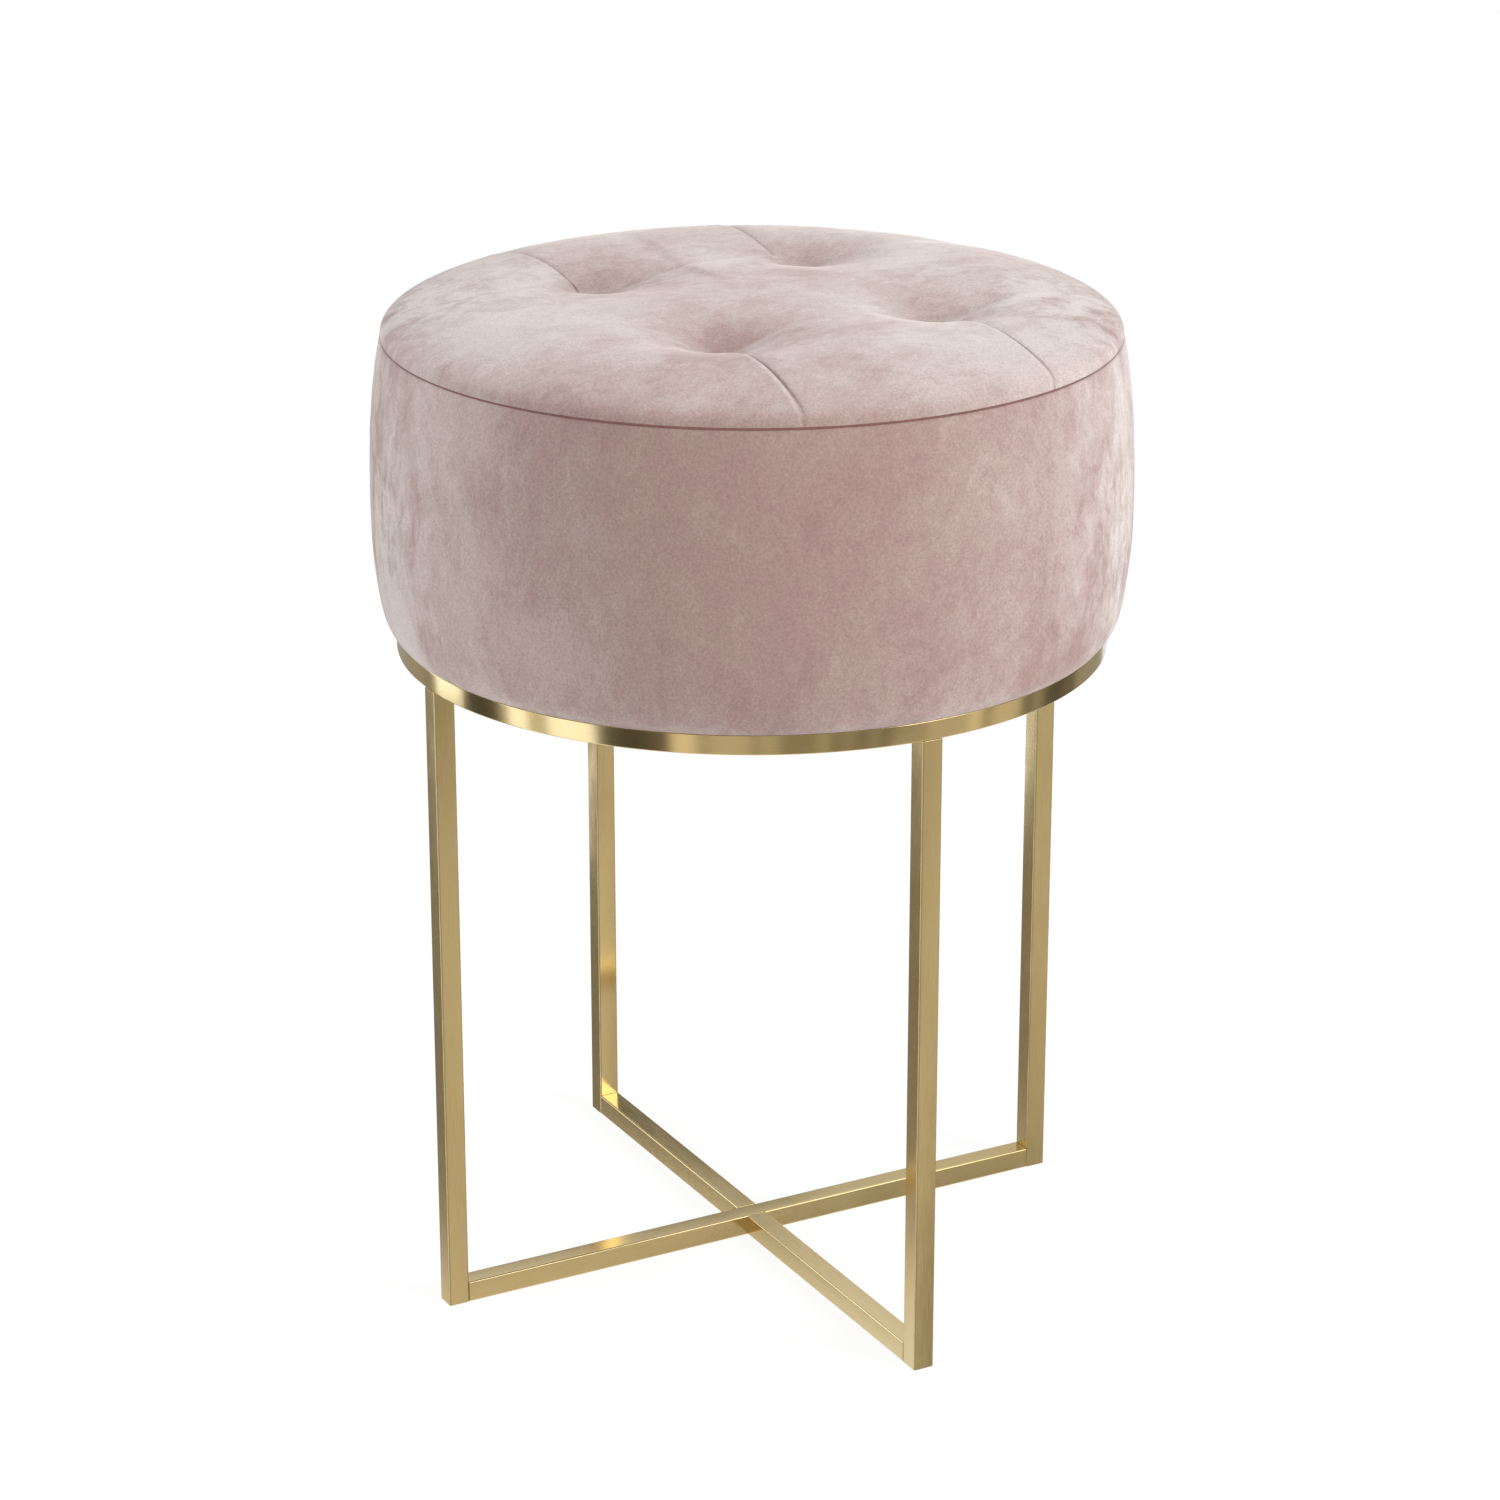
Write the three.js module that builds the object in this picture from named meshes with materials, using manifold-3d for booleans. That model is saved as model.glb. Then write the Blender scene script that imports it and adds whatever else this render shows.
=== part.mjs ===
import * as THREE from 'three';
import { mergeVertices } from 'three/addons/utils/BufferGeometryUtils.js';
import Module from 'manifold-3d';

// A round upholstered stool on a welded frame of square tube, in millimetres.
// It stands on z = 0 with its axis on Z, and the two base bars lie along X and Y.

// Frame of square tube, with the flat ring that carries the seat
const legReach = 162; // from the stool's axis to a leg's outer face
const legLength = 301;
const tubeSide = 10;
const tubeWall = 1.2;
const tubeCorner = 0.8; // outside corner radius
const ringHeight = 9;
const ringDepth = 6; // measured towards the axis
const ringChamfer = 0.5; // on both outer edges
const plugLength = 12;
const plugClearance = 0.2;
const plugHead = 2.5;
const plugCore = 4.4; // side of the core between the ribs
const plugRib = 1.2;

// Tabs inside the ring, and the bolts through them
const weldGap = 0.3;
const tabWidth = 24;
const tabThickness = 2;
const boltInset = 19; // from the ring's inner face to a bolt
const boltDiameter = 6;
const boltLength = 20;
const boltTip = 0.8;
const boltHeadDiameter = 10.5;
const boltHeadHeight = 3.3;
const boltSocket = 4.6; // across the corners of the hexagon
const boltSocketDepth = 2;
const washerDiameter = 12;
const washerThickness = 1.6;
const teeFlangeDiameter = 19;
const teeFlangeThickness = 1.5;
const teeBarrelDiameter = 8.6;
const teeBarrelLength = 9;
const fastenerClearance = 0.3;

// Wooden drum
const baseBoardInset = 3.5; // from the legs' outer faces
const baseBoardThickness = 12;
const topBoardInset = 15.8; // from the rim seam
const topBoardThickness = 9;
const wallThickness = 3;
const postSide = 20;
const postInset = 30; // from the top board's edge to the middle of a post
const screwDiameter = 4;
const screwLength = 32;
const screwTip = 5;
const screwHeadDiameter = 8;
const screwHeadHeight = 2.4;
const screwClearance = 0.2;

// Upholstery
const softGap = 0.3; // between the padding and what it touches
const coverThickness = 1.5;
const dustThickness = 0.6;
const dustInset = 1.5; // from the ring's inner face
const lipWidth = 15; // how far the side cover turns under
const coverTuck = 2; // how far its bottom edge is drawn in
const coverTuckHeight = 1.4;
const hipOverhang = 1.2; // beyond the legs' outer faces, just above the tuck
const bellyBulge = 8.9; // from there to the widest
const seamSetback = 6.3; // from the widest back to the rim seam, where side and top are sewn together
const sideHeight = 135; // top of the ring to that seam
const topPadding = 24.2; // top of the top board to that seam
const crownRise = 20; // that seam to the middle of the crown
const tuftDepth = 15;
const tuftWidth = 18;
const pleatSpread = 14.5; // how much wider apart two pleats are at the rim seam
const pleatDepth = 2.4;
const pleatWidth = 4;
const foldDepth = 3.2;
const foldWidth = 12;
const puffRise = 2;

// Tufting twine and the discs that hold it
const tieDiameter = 2.4;
const tieKnotDiameter = 6;
const tieKnotHeight = 4;
const tieClearance = 0.4;
const anchorDiameter = 20;
const anchorThickness = 3;

// How the surfaces are divided
const ringSides = 96;
const drumSides = 56;
const smallSides = 16;
const screwSides = 10;
const socketSides = 6;
const cornerSteps = 2;
const tabSteps = 8;
const longSideSteps = 16;
const shortSideSteps = 8;

// Shares that shape the outlines and the crown
const sideShares = [
  [0.03, 0.27], [0.09, 0.57], [0.18, 0.77], [0.3, 0.93], [0.45, 1], [0.66, 0.91], [0.84, 0.69],
];
const innerLoopShares = [0.35, 0.7, 0.88, 1];
const outerLoopShares = [0.12, 0.28, 0.5, 0.72, 0.87, 0.95, 0.985, 1];
const boltDomeShare = 0.55;
const tuftShares = { x: 0.3242, y: 0.3438, drift: 0.0468 }; // places of the tufts, of the seam's radius
const rimDriftShare = 0.2; // how much of the tufts' drift along X is left where their pleats end
const puffPlaceShare = 0.74;
const puffWidthShare = 0.17;
const pleatRimShare = 0.35;
const crownFlatness = 2.5;
const crownRoundness = 0.37;
const tuftSharpness = 1.35;
const rimSharpness = 12;

// Places and heights that follow from the sizes above
const ringTop = legLength + ringHeight;
const ringInner = legReach - ringDepth;
const boltReach = ringInner - boltInset;
const baseBoardRadius = legReach - baseBoardInset;
const hipRadius = legReach + hipOverhang;
const bellyRadius = hipRadius + bellyBulge;
const seamRadius = bellyRadius - seamSetback;
const topBoardRadius = seamRadius - topBoardInset;
const postReach = topBoardRadius - postInset;
const tuftX = seamRadius * tuftShares.x; // half the distance between two tufts
const tuftY = seamRadius * tuftShares.y;
const tuftDrift = seamRadius * tuftShares.drift; // how far the four sit off the axis along X
const pleatRimX = tuftX + pleatSpread / 2;
const pleatRimDrift = tuftDrift * rimDriftShare;
const dustTop = ringTop - softGap;
const tabTop = dustTop - dustThickness - softGap;
const tabBottom = tabTop - tabThickness;
const baseBoardBottom = ringTop + coverThickness + softGap;
const baseBoardTop = baseBoardBottom + baseBoardThickness;
const seamHeight = ringTop + sideHeight;
const topBoardTop = seamHeight - topPadding;
const topBoardBottom = topBoardTop - topBoardThickness;
const wallInner = topBoardRadius + softGap;
const wallOuter = wallInner + wallThickness;
const boltHeadBottom = tabBottom - washerThickness - boltHeadHeight;

const paint = {
  brass: new THREE.MeshStandardMaterial({ color: 0xb89a5c, roughness: 0.32, metalness: 1 }),
  zinc: new THREE.MeshStandardMaterial({ color: 0xb4b6b8, roughness: 0.4, metalness: 1 }),
  plastic: new THREE.MeshStandardMaterial({ color: 0x1f1e1c, roughness: 0.6 }),
  velvet: new THREE.MeshStandardMaterial({ color: 0xb39793, roughness: 0.9 }),
  foam: new THREE.MeshStandardMaterial({ color: 0xe6dcc0, roughness: 1 }),
  plywood: new THREE.MeshStandardMaterial({ color: 0xc8a675, roughness: 0.8 }),
  hardboard: new THREE.MeshStandardMaterial({ color: 0x7d5c40, roughness: 0.85 }),
  cambric: new THREE.MeshStandardMaterial({ color: 0x1c1c1e, roughness: 1 }),
  twine: new THREE.MeshStandardMaterial({ color: 0xd6cbb2, roughness: 0.95 }),
};

const sides = [
  { name: 'right', angle: 0 },
  { name: 'back', angle: Math.PI / 2 },
  { name: 'left', angle: Math.PI },
  { name: 'front', angle: -Math.PI / 2 },
];

const corners = [
  { name: 'back_right', x: 1, y: 1 },
  { name: 'back_left', x: -1, y: 1 },
  { name: 'front_left', x: -1, y: -1 },
  { name: 'front_right', x: 1, y: -1 },
];

const wasm = await Module();
wasm.setup();

const stool = new THREE.Group();

function addPiece(parent, name, geometry, material) {
  const piece = new THREE.Mesh(geometry, material);
  piece.name = name;
  parent.add(piece);
  return piece;
}

// A group turned so that its own +X points at one side of the stool
function turnedGroup(angle) {
  const group = new THREE.Group();
  group.rotation.z = angle;
  stool.add(group);
  return group;
}

// A body of revolution round Z from [radius, height] pairs, with its faces pointing out
function turned(profile, segments) {
  const area = profile.reduce((sum, [radius, height], i) => {
    const [nextRadius, nextHeight] = profile[(i + 1) % profile.length];
    return sum + radius * nextHeight - nextRadius * height;
  }, 0);
  const points = profile.map(([radius, height]) => new THREE.Vector2(radius, height));
  if (area < 0) points.reverse();
  if (profile[0][0] > 0) points.push(points[0].clone());
  return new THREE.LatheGeometry(points, segments).rotateX(Math.PI / 2);
}

function cylinder(radius, bottom, top, segments) {
  return turned([[0, bottom], [radius, bottom], [radius, top], [0, top]], segments);
}

function solidFrom(geometry) {
  const bare = geometry.clone();
  bare.deleteAttribute('normal');
  bare.deleteAttribute('uv');
  const merged = mergeVertices(bare);
  const corner = merged.index.array;
  const triVerts = [];
  for (let i = 0; i < corner.length; i += 3) {
    const [a, b, c] = corner.slice(i, i + 3);
    if (a !== b && b !== c && c !== a) triVerts.push(a, b, c);
  }
  const vertProperties = merged.attributes.position.array;
  const mesh = new wasm.Mesh({ numProp: 3, vertProperties, triVerts: new Uint32Array(triVerts) });
  return new wasm.Manifold(mesh);
}

function cutAway(geometry, tools) {
  let solid = solidFrom(geometry);
  for (const tool of tools) solid = solid.subtract(solidFrom(tool));
  const mesh = solid.getMesh();
  const result = new THREE.BufferGeometry();
  result.setAttribute('position', new THREE.BufferAttribute(mesh.vertProperties, 3));
  result.setIndex(new THREE.BufferAttribute(mesh.triVerts, 1));
  result.computeVertexNormals();
  return result;
}

// Square tube with rounded corners, standing on its end
function squareTube(length) {
  const half = tubeSide / 2;
  const straight = half - tubeCorner;
  const outline = new THREE.Shape();
  outline.absarc(straight, straight, tubeCorner, 0, Math.PI / 2);
  outline.absarc(-straight, straight, tubeCorner, Math.PI / 2, Math.PI);
  outline.absarc(-straight, -straight, tubeCorner, Math.PI, Math.PI * 1.5);
  outline.absarc(straight, -straight, tubeCorner, Math.PI * 1.5, Math.PI * 2);
  const bore = half - tubeWall;
  const hollow = new THREE.Path();
  hollow.moveTo(bore, bore);
  hollow.lineTo(bore, -bore);
  hollow.lineTo(-bore, -bore);
  hollow.lineTo(-bore, bore);
  hollow.closePath();
  outline.holes.push(hollow);
  const settings = { depth: length, bevelEnabled: false, curveSegments: cornerSteps };
  return new THREE.ExtrudeGeometry(outline, settings);
}

function makeLegs() {
  for (const { name, angle } of sides) {
    const group = turnedGroup(angle);
    const leg = addPiece(group, `leg_${name}`, squareTube(legLength), paint.brass);
    leg.position.x = legReach - tubeSide / 2;
    const plug = addPiece(group, `leg_plug_${name}`, legPlug(), paint.plastic);
    plug.position.x = leg.position.x;
  }
}

// Ribbed square plug in the leg's open end, flush with the floor end of the tube
function legPlug() {
  const bore = tubeSide / 2 - tubeWall - plugClearance;
  const core = plugCore / 2;
  const ribs = [plugHead + plugRib * 2, plugHead + plugRib * 5];
  const outline = [[0, 0], [bore, 0], [bore, plugHead]];
  for (const height of ribs) {
    outline.push([core, height - plugRib], [bore, height], [core, height + plugRib]);
  }
  outline.push([core, plugLength], [0, plugLength]);
  const profile = outline.map(([half, height]) => [half * Math.SQRT2, height]);
  return turned(profile, 4).rotateZ(Math.PI / 4);
}

// One bar runs between two legs, and the other is two halves that butt against it
function makeBaseBars() {
  const reach = legReach - tubeSide;
  const long = addPiece(stool, 'base_bar_long', squareTube(reach * 2), paint.brass);
  long.rotation.y = Math.PI / 2;
  long.position.set(-reach, 0, tubeSide / 2);
  for (const { name, angle } of sides.filter((side) => side.name === 'front' || side.name === 'back')) {
    const tube = squareTube(reach - tubeSide / 2);
    const half = addPiece(turnedGroup(angle), `base_bar_${name}`, tube, paint.brass);
    half.rotation.y = Math.PI / 2;
    half.position.set(tubeSide / 2, 0, tubeSide / 2);
  }
}

function makeRing() {
  const profile = [
    [ringInner, legLength], [legReach - ringChamfer, legLength], [legReach, legLength + ringChamfer],
    [legReach, ringTop - ringChamfer], [legReach - ringChamfer, ringTop], [ringInner, ringTop],
  ];
  addPiece(stool, 'seat_ring', turned(profile, ringSides), paint.brass);
}

// A tab with a round end inside the ring, its other end curved to the ring
function seatTab() {
  const half = tabWidth / 2;
  const weldRadius = ringInner - weldGap;
  const spread = Math.asin(half / weldRadius);
  const outline = new THREE.Shape();
  outline.absarc(0, 0, weldRadius, -spread, spread);
  outline.absarc(boltReach, 0, half, Math.PI / 2, Math.PI * 1.5);
  const hole = new THREE.Path();
  hole.absarc(boltReach, 0, boltDiameter / 2 + fastenerClearance, 0, Math.PI * 2);
  outline.holes.push(hole);
  const settings = { depth: tabThickness, bevelEnabled: false, curveSegments: tabSteps };
  return new THREE.ExtrudeGeometry(outline, settings);
}

// Button-head bolt from under the tab, with a hexagon socket
function seatBolt() {
  const shank = boltDiameter / 2;
  const head = boltHeadDiameter / 2;
  const dome = boltHeadHeight * boltDomeShare;
  const tip = boltHeadHeight + boltLength;
  const body = turned([
    [0, 0], [head * boltDomeShare, 0], [head, dome], [head, boltHeadHeight], [shank, boltHeadHeight],
    [shank, tip - boltTip], [shank - boltTip, tip], [0, tip],
  ], smallSides);
  const socket = cylinder(boltSocket / 2, -boltSocketDepth, boltSocketDepth, socketSides);
  return cutAway(body, [socket]);
}

function washer() {
  const hole = boltDiameter / 2 + fastenerClearance;
  const rim = washerDiameter / 2;
  return turned([[hole, 0], [rim, 0], [rim, washerThickness], [hole, washerThickness]], smallSides);
}

// Threaded insert, its flange on the base board and its barrel down in the board
function teeNut() {
  const bore = boltDiameter / 2 + fastenerClearance;
  const barrel = teeBarrelDiameter / 2;
  const flange = teeFlangeDiameter / 2;
  return turned([
    [bore, -teeBarrelLength], [barrel, -teeBarrelLength], [barrel, 0], [flange, 0],
    [flange, teeFlangeThickness], [bore, teeFlangeThickness],
  ], smallSides);
}

function makeSeatFixings() {
  for (const { name, angle } of sides) {
    const group = turnedGroup(angle);
    addPiece(group, `seat_tab_${name}`, seatTab(), paint.brass).position.z = tabBottom;
    const heights = { bolt: boltHeadBottom, washer: tabBottom - washerThickness, tee: baseBoardTop };
    addPiece(group, `seat_bolt_${name}`, seatBolt(), paint.zinc).position.set(boltReach, 0, heights.bolt);
    addPiece(group, `seat_washer_${name}`, washer(), paint.zinc).position.set(boltReach, 0, heights.washer);
    addPiece(group, `tee_nut_${name}`, teeNut(), paint.zinc).position.set(boltReach, 0, heights.tee);
  }
}

// Countersunk wood screw pointing up from its head at z = 0, or the hole for one
function screw(extra) {
  const head = screwHeadDiameter / 2 + extra;
  const shank = screwDiameter / 2 + extra;
  const neck = screwHeadHeight + extra;
  const point = screwLength + extra;
  return turned([
    [0, 0], [head, 0], [shank, neck], [shank, screwLength - screwTip], [0, point],
  ], screwSides);
}

function lowerScrewAt(corner, extra) {
  return screw(extra).translate(...postPlace(corner), baseBoardBottom);
}

function upperScrewAt(corner, extra) {
  return screw(extra).rotateX(Math.PI).translate(...postPlace(corner), topBoardTop);
}

function postPlace({ x, y }) {
  return [x * postReach * Math.SQRT1_2, y * postReach * Math.SQRT1_2];
}

function tuftPlace({ x, y }) {
  return [tuftDrift + x * tuftX, y * tuftY];
}

function boltHoles(radius, bottom, top) {
  return sides.map(({ angle }) => {
    const hole = cylinder(radius, bottom, top, smallSides);
    return hole.translate(boltReach * Math.cos(angle), boltReach * Math.sin(angle), 0);
  });
}

function tieHoles(bottom, top) {
  return corners.map((corner) => {
    const hole = cylinder(tieDiameter / 2 + tieClearance, bottom, top, screwSides);
    return hole.translate(...tuftPlace(corner), 0);
  });
}

function makeDrum() {
  const baseDisc = cylinder(baseBoardRadius, baseBoardBottom, baseBoardTop, drumSides);
  const baseTools = corners.map((corner) => lowerScrewAt(corner, screwClearance));
  baseTools.push(...boltHoles(teeBarrelDiameter / 2 + fastenerClearance, ringTop, topBoardBottom));
  addPiece(stool, 'base_board', cutAway(baseDisc, baseTools), paint.plywood);

  const topDisc = cylinder(topBoardRadius, topBoardBottom, topBoardTop, drumSides);
  const topTools = corners.map((corner) => upperScrewAt(corner, screwClearance));
  topTools.push(...tieHoles(baseBoardTop, seamHeight));
  addPiece(stool, 'top_board', cutAway(topDisc, topTools), paint.plywood);

  const wallProfile = [
    [wallInner, baseBoardTop], [wallOuter, baseBoardTop], [wallOuter, topBoardTop], [wallInner, topBoardTop],
  ];
  addPiece(stool, 'drum_wall', turned(wallProfile, drumSides), paint.hardboard);
}

function makePosts() {
  const length = topBoardBottom - baseBoardTop;
  const middle = (topBoardBottom + baseBoardTop) / 2;
  for (const corner of corners) {
    const blank = new THREE.BoxGeometry(postSide, postSide, length).translate(...postPlace(corner), middle);
    const pilots = [lowerScrewAt(corner, screwClearance), upperScrewAt(corner, screwClearance)];
    addPiece(stool, `seat_post_${corner.name}`, cutAway(blank, pilots), paint.plywood);
    addPiece(stool, `lower_screw_${corner.name}`, lowerScrewAt(corner, 0), paint.zinc);
    addPiece(stool, `upper_screw_${corner.name}`, upperScrewAt(corner, 0), paint.zinc);
  }
}

// [radius, height] pairs up the outside of the drum, drawn in by an inset
function sideOutline(inset) {
  const bulge = sideShares.map(([heightShare, bulgeShare]) => [
    hipRadius + (bellyRadius - hipRadius) * bulgeShare,
    ringTop + sideHeight * heightShare,
  ]);
  const outline = [[hipRadius, ringTop + coverTuckHeight], ...bulge, [seamRadius, seamHeight]];
  return outline.map(([radius, height]) => [radius - inset, height]);
}

// The part of that outline between two heights, with a point on it at each
function sideStretch(inset, bottom, top) {
  const outline = sideOutline(inset);
  const pointAt = (height) => {
    const above = Math.max(1, outline.findIndex((point) => point[1] >= height));
    const [lowRadius, low] = outline[above - 1];
    const [highRadius, high] = outline[above];
    return [THREE.MathUtils.mapLinear(height, low, high, lowRadius, highRadius), height];
  };
  const inside = outline.filter((point) => point[1] > bottom && point[1] < top);
  return [pointAt(bottom), ...inside, pointAt(top)];
}

// Velvet band round the drum, its bottom edge turned in over the ring
function makeSideCover() {
  const lipInner = ringInner + coverTuck - lipWidth;
  const lipTop = ringTop + coverThickness;
  const top = seamHeight - softGap;
  const profile = [
    [lipInner, lipTop], [lipInner, ringTop], [hipRadius - coverTuck, ringTop],
    ...sideStretch(0, ringTop + coverTuckHeight, top), ...sideStretch(coverThickness, lipTop, top).reverse(),
  ];
  addPiece(stool, 'side_cover', turned(profile, drumSides), paint.velvet);
}

function makeSideFoam() {
  const inside = wallOuter + softGap;
  const foot = baseBoardRadius + softGap;
  const profile = [
    [foot, baseBoardBottom], ...sideStretch(coverThickness + softGap, baseBoardBottom, topBoardTop),
    [inside, topBoardTop], [inside, baseBoardTop + softGap], [foot, baseBoardTop + softGap],
  ];
  addPiece(stool, 'side_foam', turned(profile, drumSides), paint.foam);
}

function makeDustCover() {
  const disc = cylinder(ringInner - dustInset, dustTop - dustThickness, dustTop, drumSides);
  const holes = boltHoles(boltDiameter / 2 + fastenerClearance, tabBottom, ringTop);
  addPiece(stool, 'dust_cover', cutAway(disc, holes), paint.cambric);
}

// Distance from a point to the pleat that runs from the nearest tuft to the rim
function pleatDistance(x, y) {
  const rimY = Math.sqrt(seamRadius ** 2 - pleatRimX ** 2);
  const along = THREE.MathUtils.clamp((Math.abs(y) - tuftY) / (rimY - tuftY), 0, 1);
  const pleatX = THREE.MathUtils.lerp(tuftX, pleatRimX, along);
  const middle = THREE.MathUtils.lerp(tuftDrift, pleatRimDrift, along);
  return { along, gap: Math.abs(Math.abs(x - middle) - pleatX) };
}

function bump(distance, width) {
  return Math.exp(-((distance / width) ** 2));
}

// Height of the tufted crown, on the outside or at an inset below it
function crownHeight(x, y, inset) {
  const radius = Math.hypot(x, y);
  const rim = seamRadius - inset;
  const fall = Math.min(1, (radius / rim) ** crownFlatness);
  const inward = 1 - Math.min(1, (radius / rim) ** rimSharpness);
  const { along, gap } = pleatDistance(x, y);
  const beside = Math.abs(x - tuftDrift) - tuftX;
  const tuftGap = Math.hypot(beside, Math.abs(y) - tuftY);
  const tuft = tuftDepth * Math.exp(-((tuftGap / tuftWidth) ** tuftSharpness));
  const across = foldDepth * bump(Math.abs(y) - tuftY, foldWidth);
  const between = along > 0 ? 0 : foldDepth * bump(beside, foldWidth);
  const pleat = along > 0 ? pleatDepth * bump(gap, pleatWidth) * (1 - along * (1 - pleatRimShare)) : 0;
  const puff = puffRise * bump(radius - seamRadius * puffPlaceShare, seamRadius * puffWidthShare);
  const crown = (crownRise - inset) * (1 - fall) ** crownRoundness;
  return seamHeight + crown + inward * (puff - Math.max(tuft, across, between, pleat));
}

// Spokes from the patch between the four tufts to the rim, with one at each pleat
function quiltSpokes(rim) {
  const right = Math.acos((pleatRimDrift + pleatRimX) / rim);
  const left = Math.acos((pleatRimDrift - pleatRimX) / rim);
  const turns = [-right, right, left, Math.PI * 2 - left];
  const around = [{ x: 1, y: -1 }, { x: 1, y: 1 }, { x: -1, y: 1 }, { x: -1, y: -1 }];
  const tufts = around.map(tuftPlace);
  const spokes = [];
  for (let side = 0; side < 4; side++) {
    const next = (side + 1) % 4;
    const endAngle = next === 0 ? turns[0] + Math.PI * 2 : turns[next];
    const steps = side % 2 === 0 ? longSideSteps : shortSideSteps;
    for (let step = 0; step < steps; step++) {
      const angle = THREE.MathUtils.lerp(turns[side], endAngle, step / steps);
      const patch = new THREE.Vector2(...tufts[side]).lerp(new THREE.Vector2(...tufts[next]), step / steps);
      const edge = new THREE.Vector2(Math.cos(angle), Math.sin(angle)).multiplyScalar(rim);
      spokes.push({ patch, edge, leans: step < steps / 2 });
    }
  }
  return spokes;
}

// Loops of the tufted crown from the middle to the rim seam
function quiltLoops(inset) {
  const spokes = quiltSpokes(seamRadius - inset);
  const lift = (place) => new THREE.Vector3(place.x, place.y, crownHeight(place.x, place.y, inset));
  const inside = (share) => spokes.map(({ patch }) => lift(patch.clone().multiplyScalar(share)));
  const outside = (share) => spokes.map(({ patch, edge }) => lift(patch.clone().lerp(edge, share)));
  return [...innerLoopShares.map(inside), ...outerLoopShares.map(outside)];
}

function crownTop(inset) {
  return new THREE.Vector3(0, 0, crownHeight(0, 0, inset));
}

// A closed skin through loops that run from a point below, out, up and back to a point above.
// Each spoke leans its patches' diagonals one way in every layer, so that layers stay parallel.
function closedSkin(below, loops, above, leans) {
  const count = loops[0].length;
  const last = loops.length - 1;
  const points = [below, ...loops.flat(), above];
  const faces = [];
  const at = (loop, step) => 1 + loop * count + (step % count);
  const reach = (loop) => Math.hypot(loops[loop][0].x, loops[loop][0].y);
  for (let step = 0; step < count; step++) {
    faces.push(0, at(0, step + 1), at(0, step));
    for (let loop = 0; loop < last; loop++) {
      const [a, b, c, d] = [at(loop, step), at(loop, step + 1), at(loop + 1, step + 1), at(loop + 1, step)];
      const widens = reach(loop + 1) > reach(loop);
      if (widens === leans[step]) faces.push(a, b, c, a, c, d);
      else faces.push(a, b, d, b, c, d);
    }
    faces.push(at(last, step), at(last, step + 1), points.length - 1);
  }
  const geometry = new THREE.BufferGeometry().setFromPoints(points);
  geometry.setIndex(faces);
  geometry.computeVertexNormals();
  return geometry;
}

function quiltLeans() {
  return quiltSpokes(seamRadius).map(({ leans }) => leans);
}

// Velvet top panel, pulled down at four tufts, with a pleat from each to the rim
function makeTopCover() {
  const loops = [...quiltLoops(coverThickness), ...quiltLoops(0).reverse()];
  const panel = closedSkin(crownTop(coverThickness), loops, crownTop(0), quiltLeans());
  addPiece(stool, 'top_cover', panel, paint.velvet);
}

// Foam that fills the crown, standing on the top board and the side padding
function makeTopFoam() {
  const inset = coverThickness + softGap;
  const bottom = topBoardTop + softGap;
  const crown = quiltLoops(inset);
  const rimLoop = crown[crown.length - 1];
  const loopAt = ([radius, height]) => rimLoop.map((point) => {
    const scale = radius / Math.hypot(point.x, point.y);
    return new THREE.Vector3(point.x * scale, point.y * scale, height);
  });
  const side = sideStretch(inset, bottom, seamHeight - softGap).map(loopAt);
  const loops = [...side, ...crown.reverse()];
  const block = closedSkin(new THREE.Vector3(0, 0, bottom), loops, crownTop(inset), quiltLeans());
  addPiece(stool, 'top_foam', cutAway(block, tieHoles(topBoardBottom, seamHeight + crownRise)), paint.foam);
}

// Twine from under the velvet through the foam and the top board, with its knot under a disc
function makeTuftTies() {
  const twine = tieDiameter / 2;
  const knot = tieKnotDiameter / 2;
  const anchorBottom = topBoardBottom - anchorThickness;
  for (const corner of corners) {
    const top = crownHeight(...tuftPlace(corner), coverThickness) - softGap;
    const tie = turned([
      [0, anchorBottom - tieKnotHeight], [knot, anchorBottom - tieKnotHeight / 2], [twine, anchorBottom],
      [twine, top], [0, top],
    ], screwSides);
    const hole = twine + tieClearance;
    const disc = turned([
      [hole, anchorBottom], [anchorDiameter / 2, anchorBottom], [anchorDiameter / 2, topBoardBottom],
      [hole, topBoardBottom],
    ], smallSides);
    addPiece(stool, `tuft_tie_${corner.name}`, tie.translate(...tuftPlace(corner), 0), paint.twine);
    addPiece(stool, `tuft_anchor_${corner.name}`, disc.translate(...tuftPlace(corner), 0), paint.plastic);
  }
}

makeLegs();
makeBaseBars();
makeRing();
makeSeatFixings();
makeDrum();
makePosts();
makeSideCover();
makeSideFoam();
makeDustCover();
makeTopCover();
makeTopFoam();
makeTuftTies();

export default stool;
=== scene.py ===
import math
import bpy
import numpy as np
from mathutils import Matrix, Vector, noise


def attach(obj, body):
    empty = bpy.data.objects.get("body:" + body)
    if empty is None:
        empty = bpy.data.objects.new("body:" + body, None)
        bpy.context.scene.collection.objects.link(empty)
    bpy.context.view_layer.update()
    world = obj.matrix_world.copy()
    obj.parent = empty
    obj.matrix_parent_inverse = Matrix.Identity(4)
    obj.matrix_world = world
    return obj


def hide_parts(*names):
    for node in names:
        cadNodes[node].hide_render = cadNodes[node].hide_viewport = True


# Round velvet stool on a brass-coloured frame of square tube.
# Lengths in the dictionaries are millimetres, the scene itself is in metres.
mm = 0.001

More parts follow.
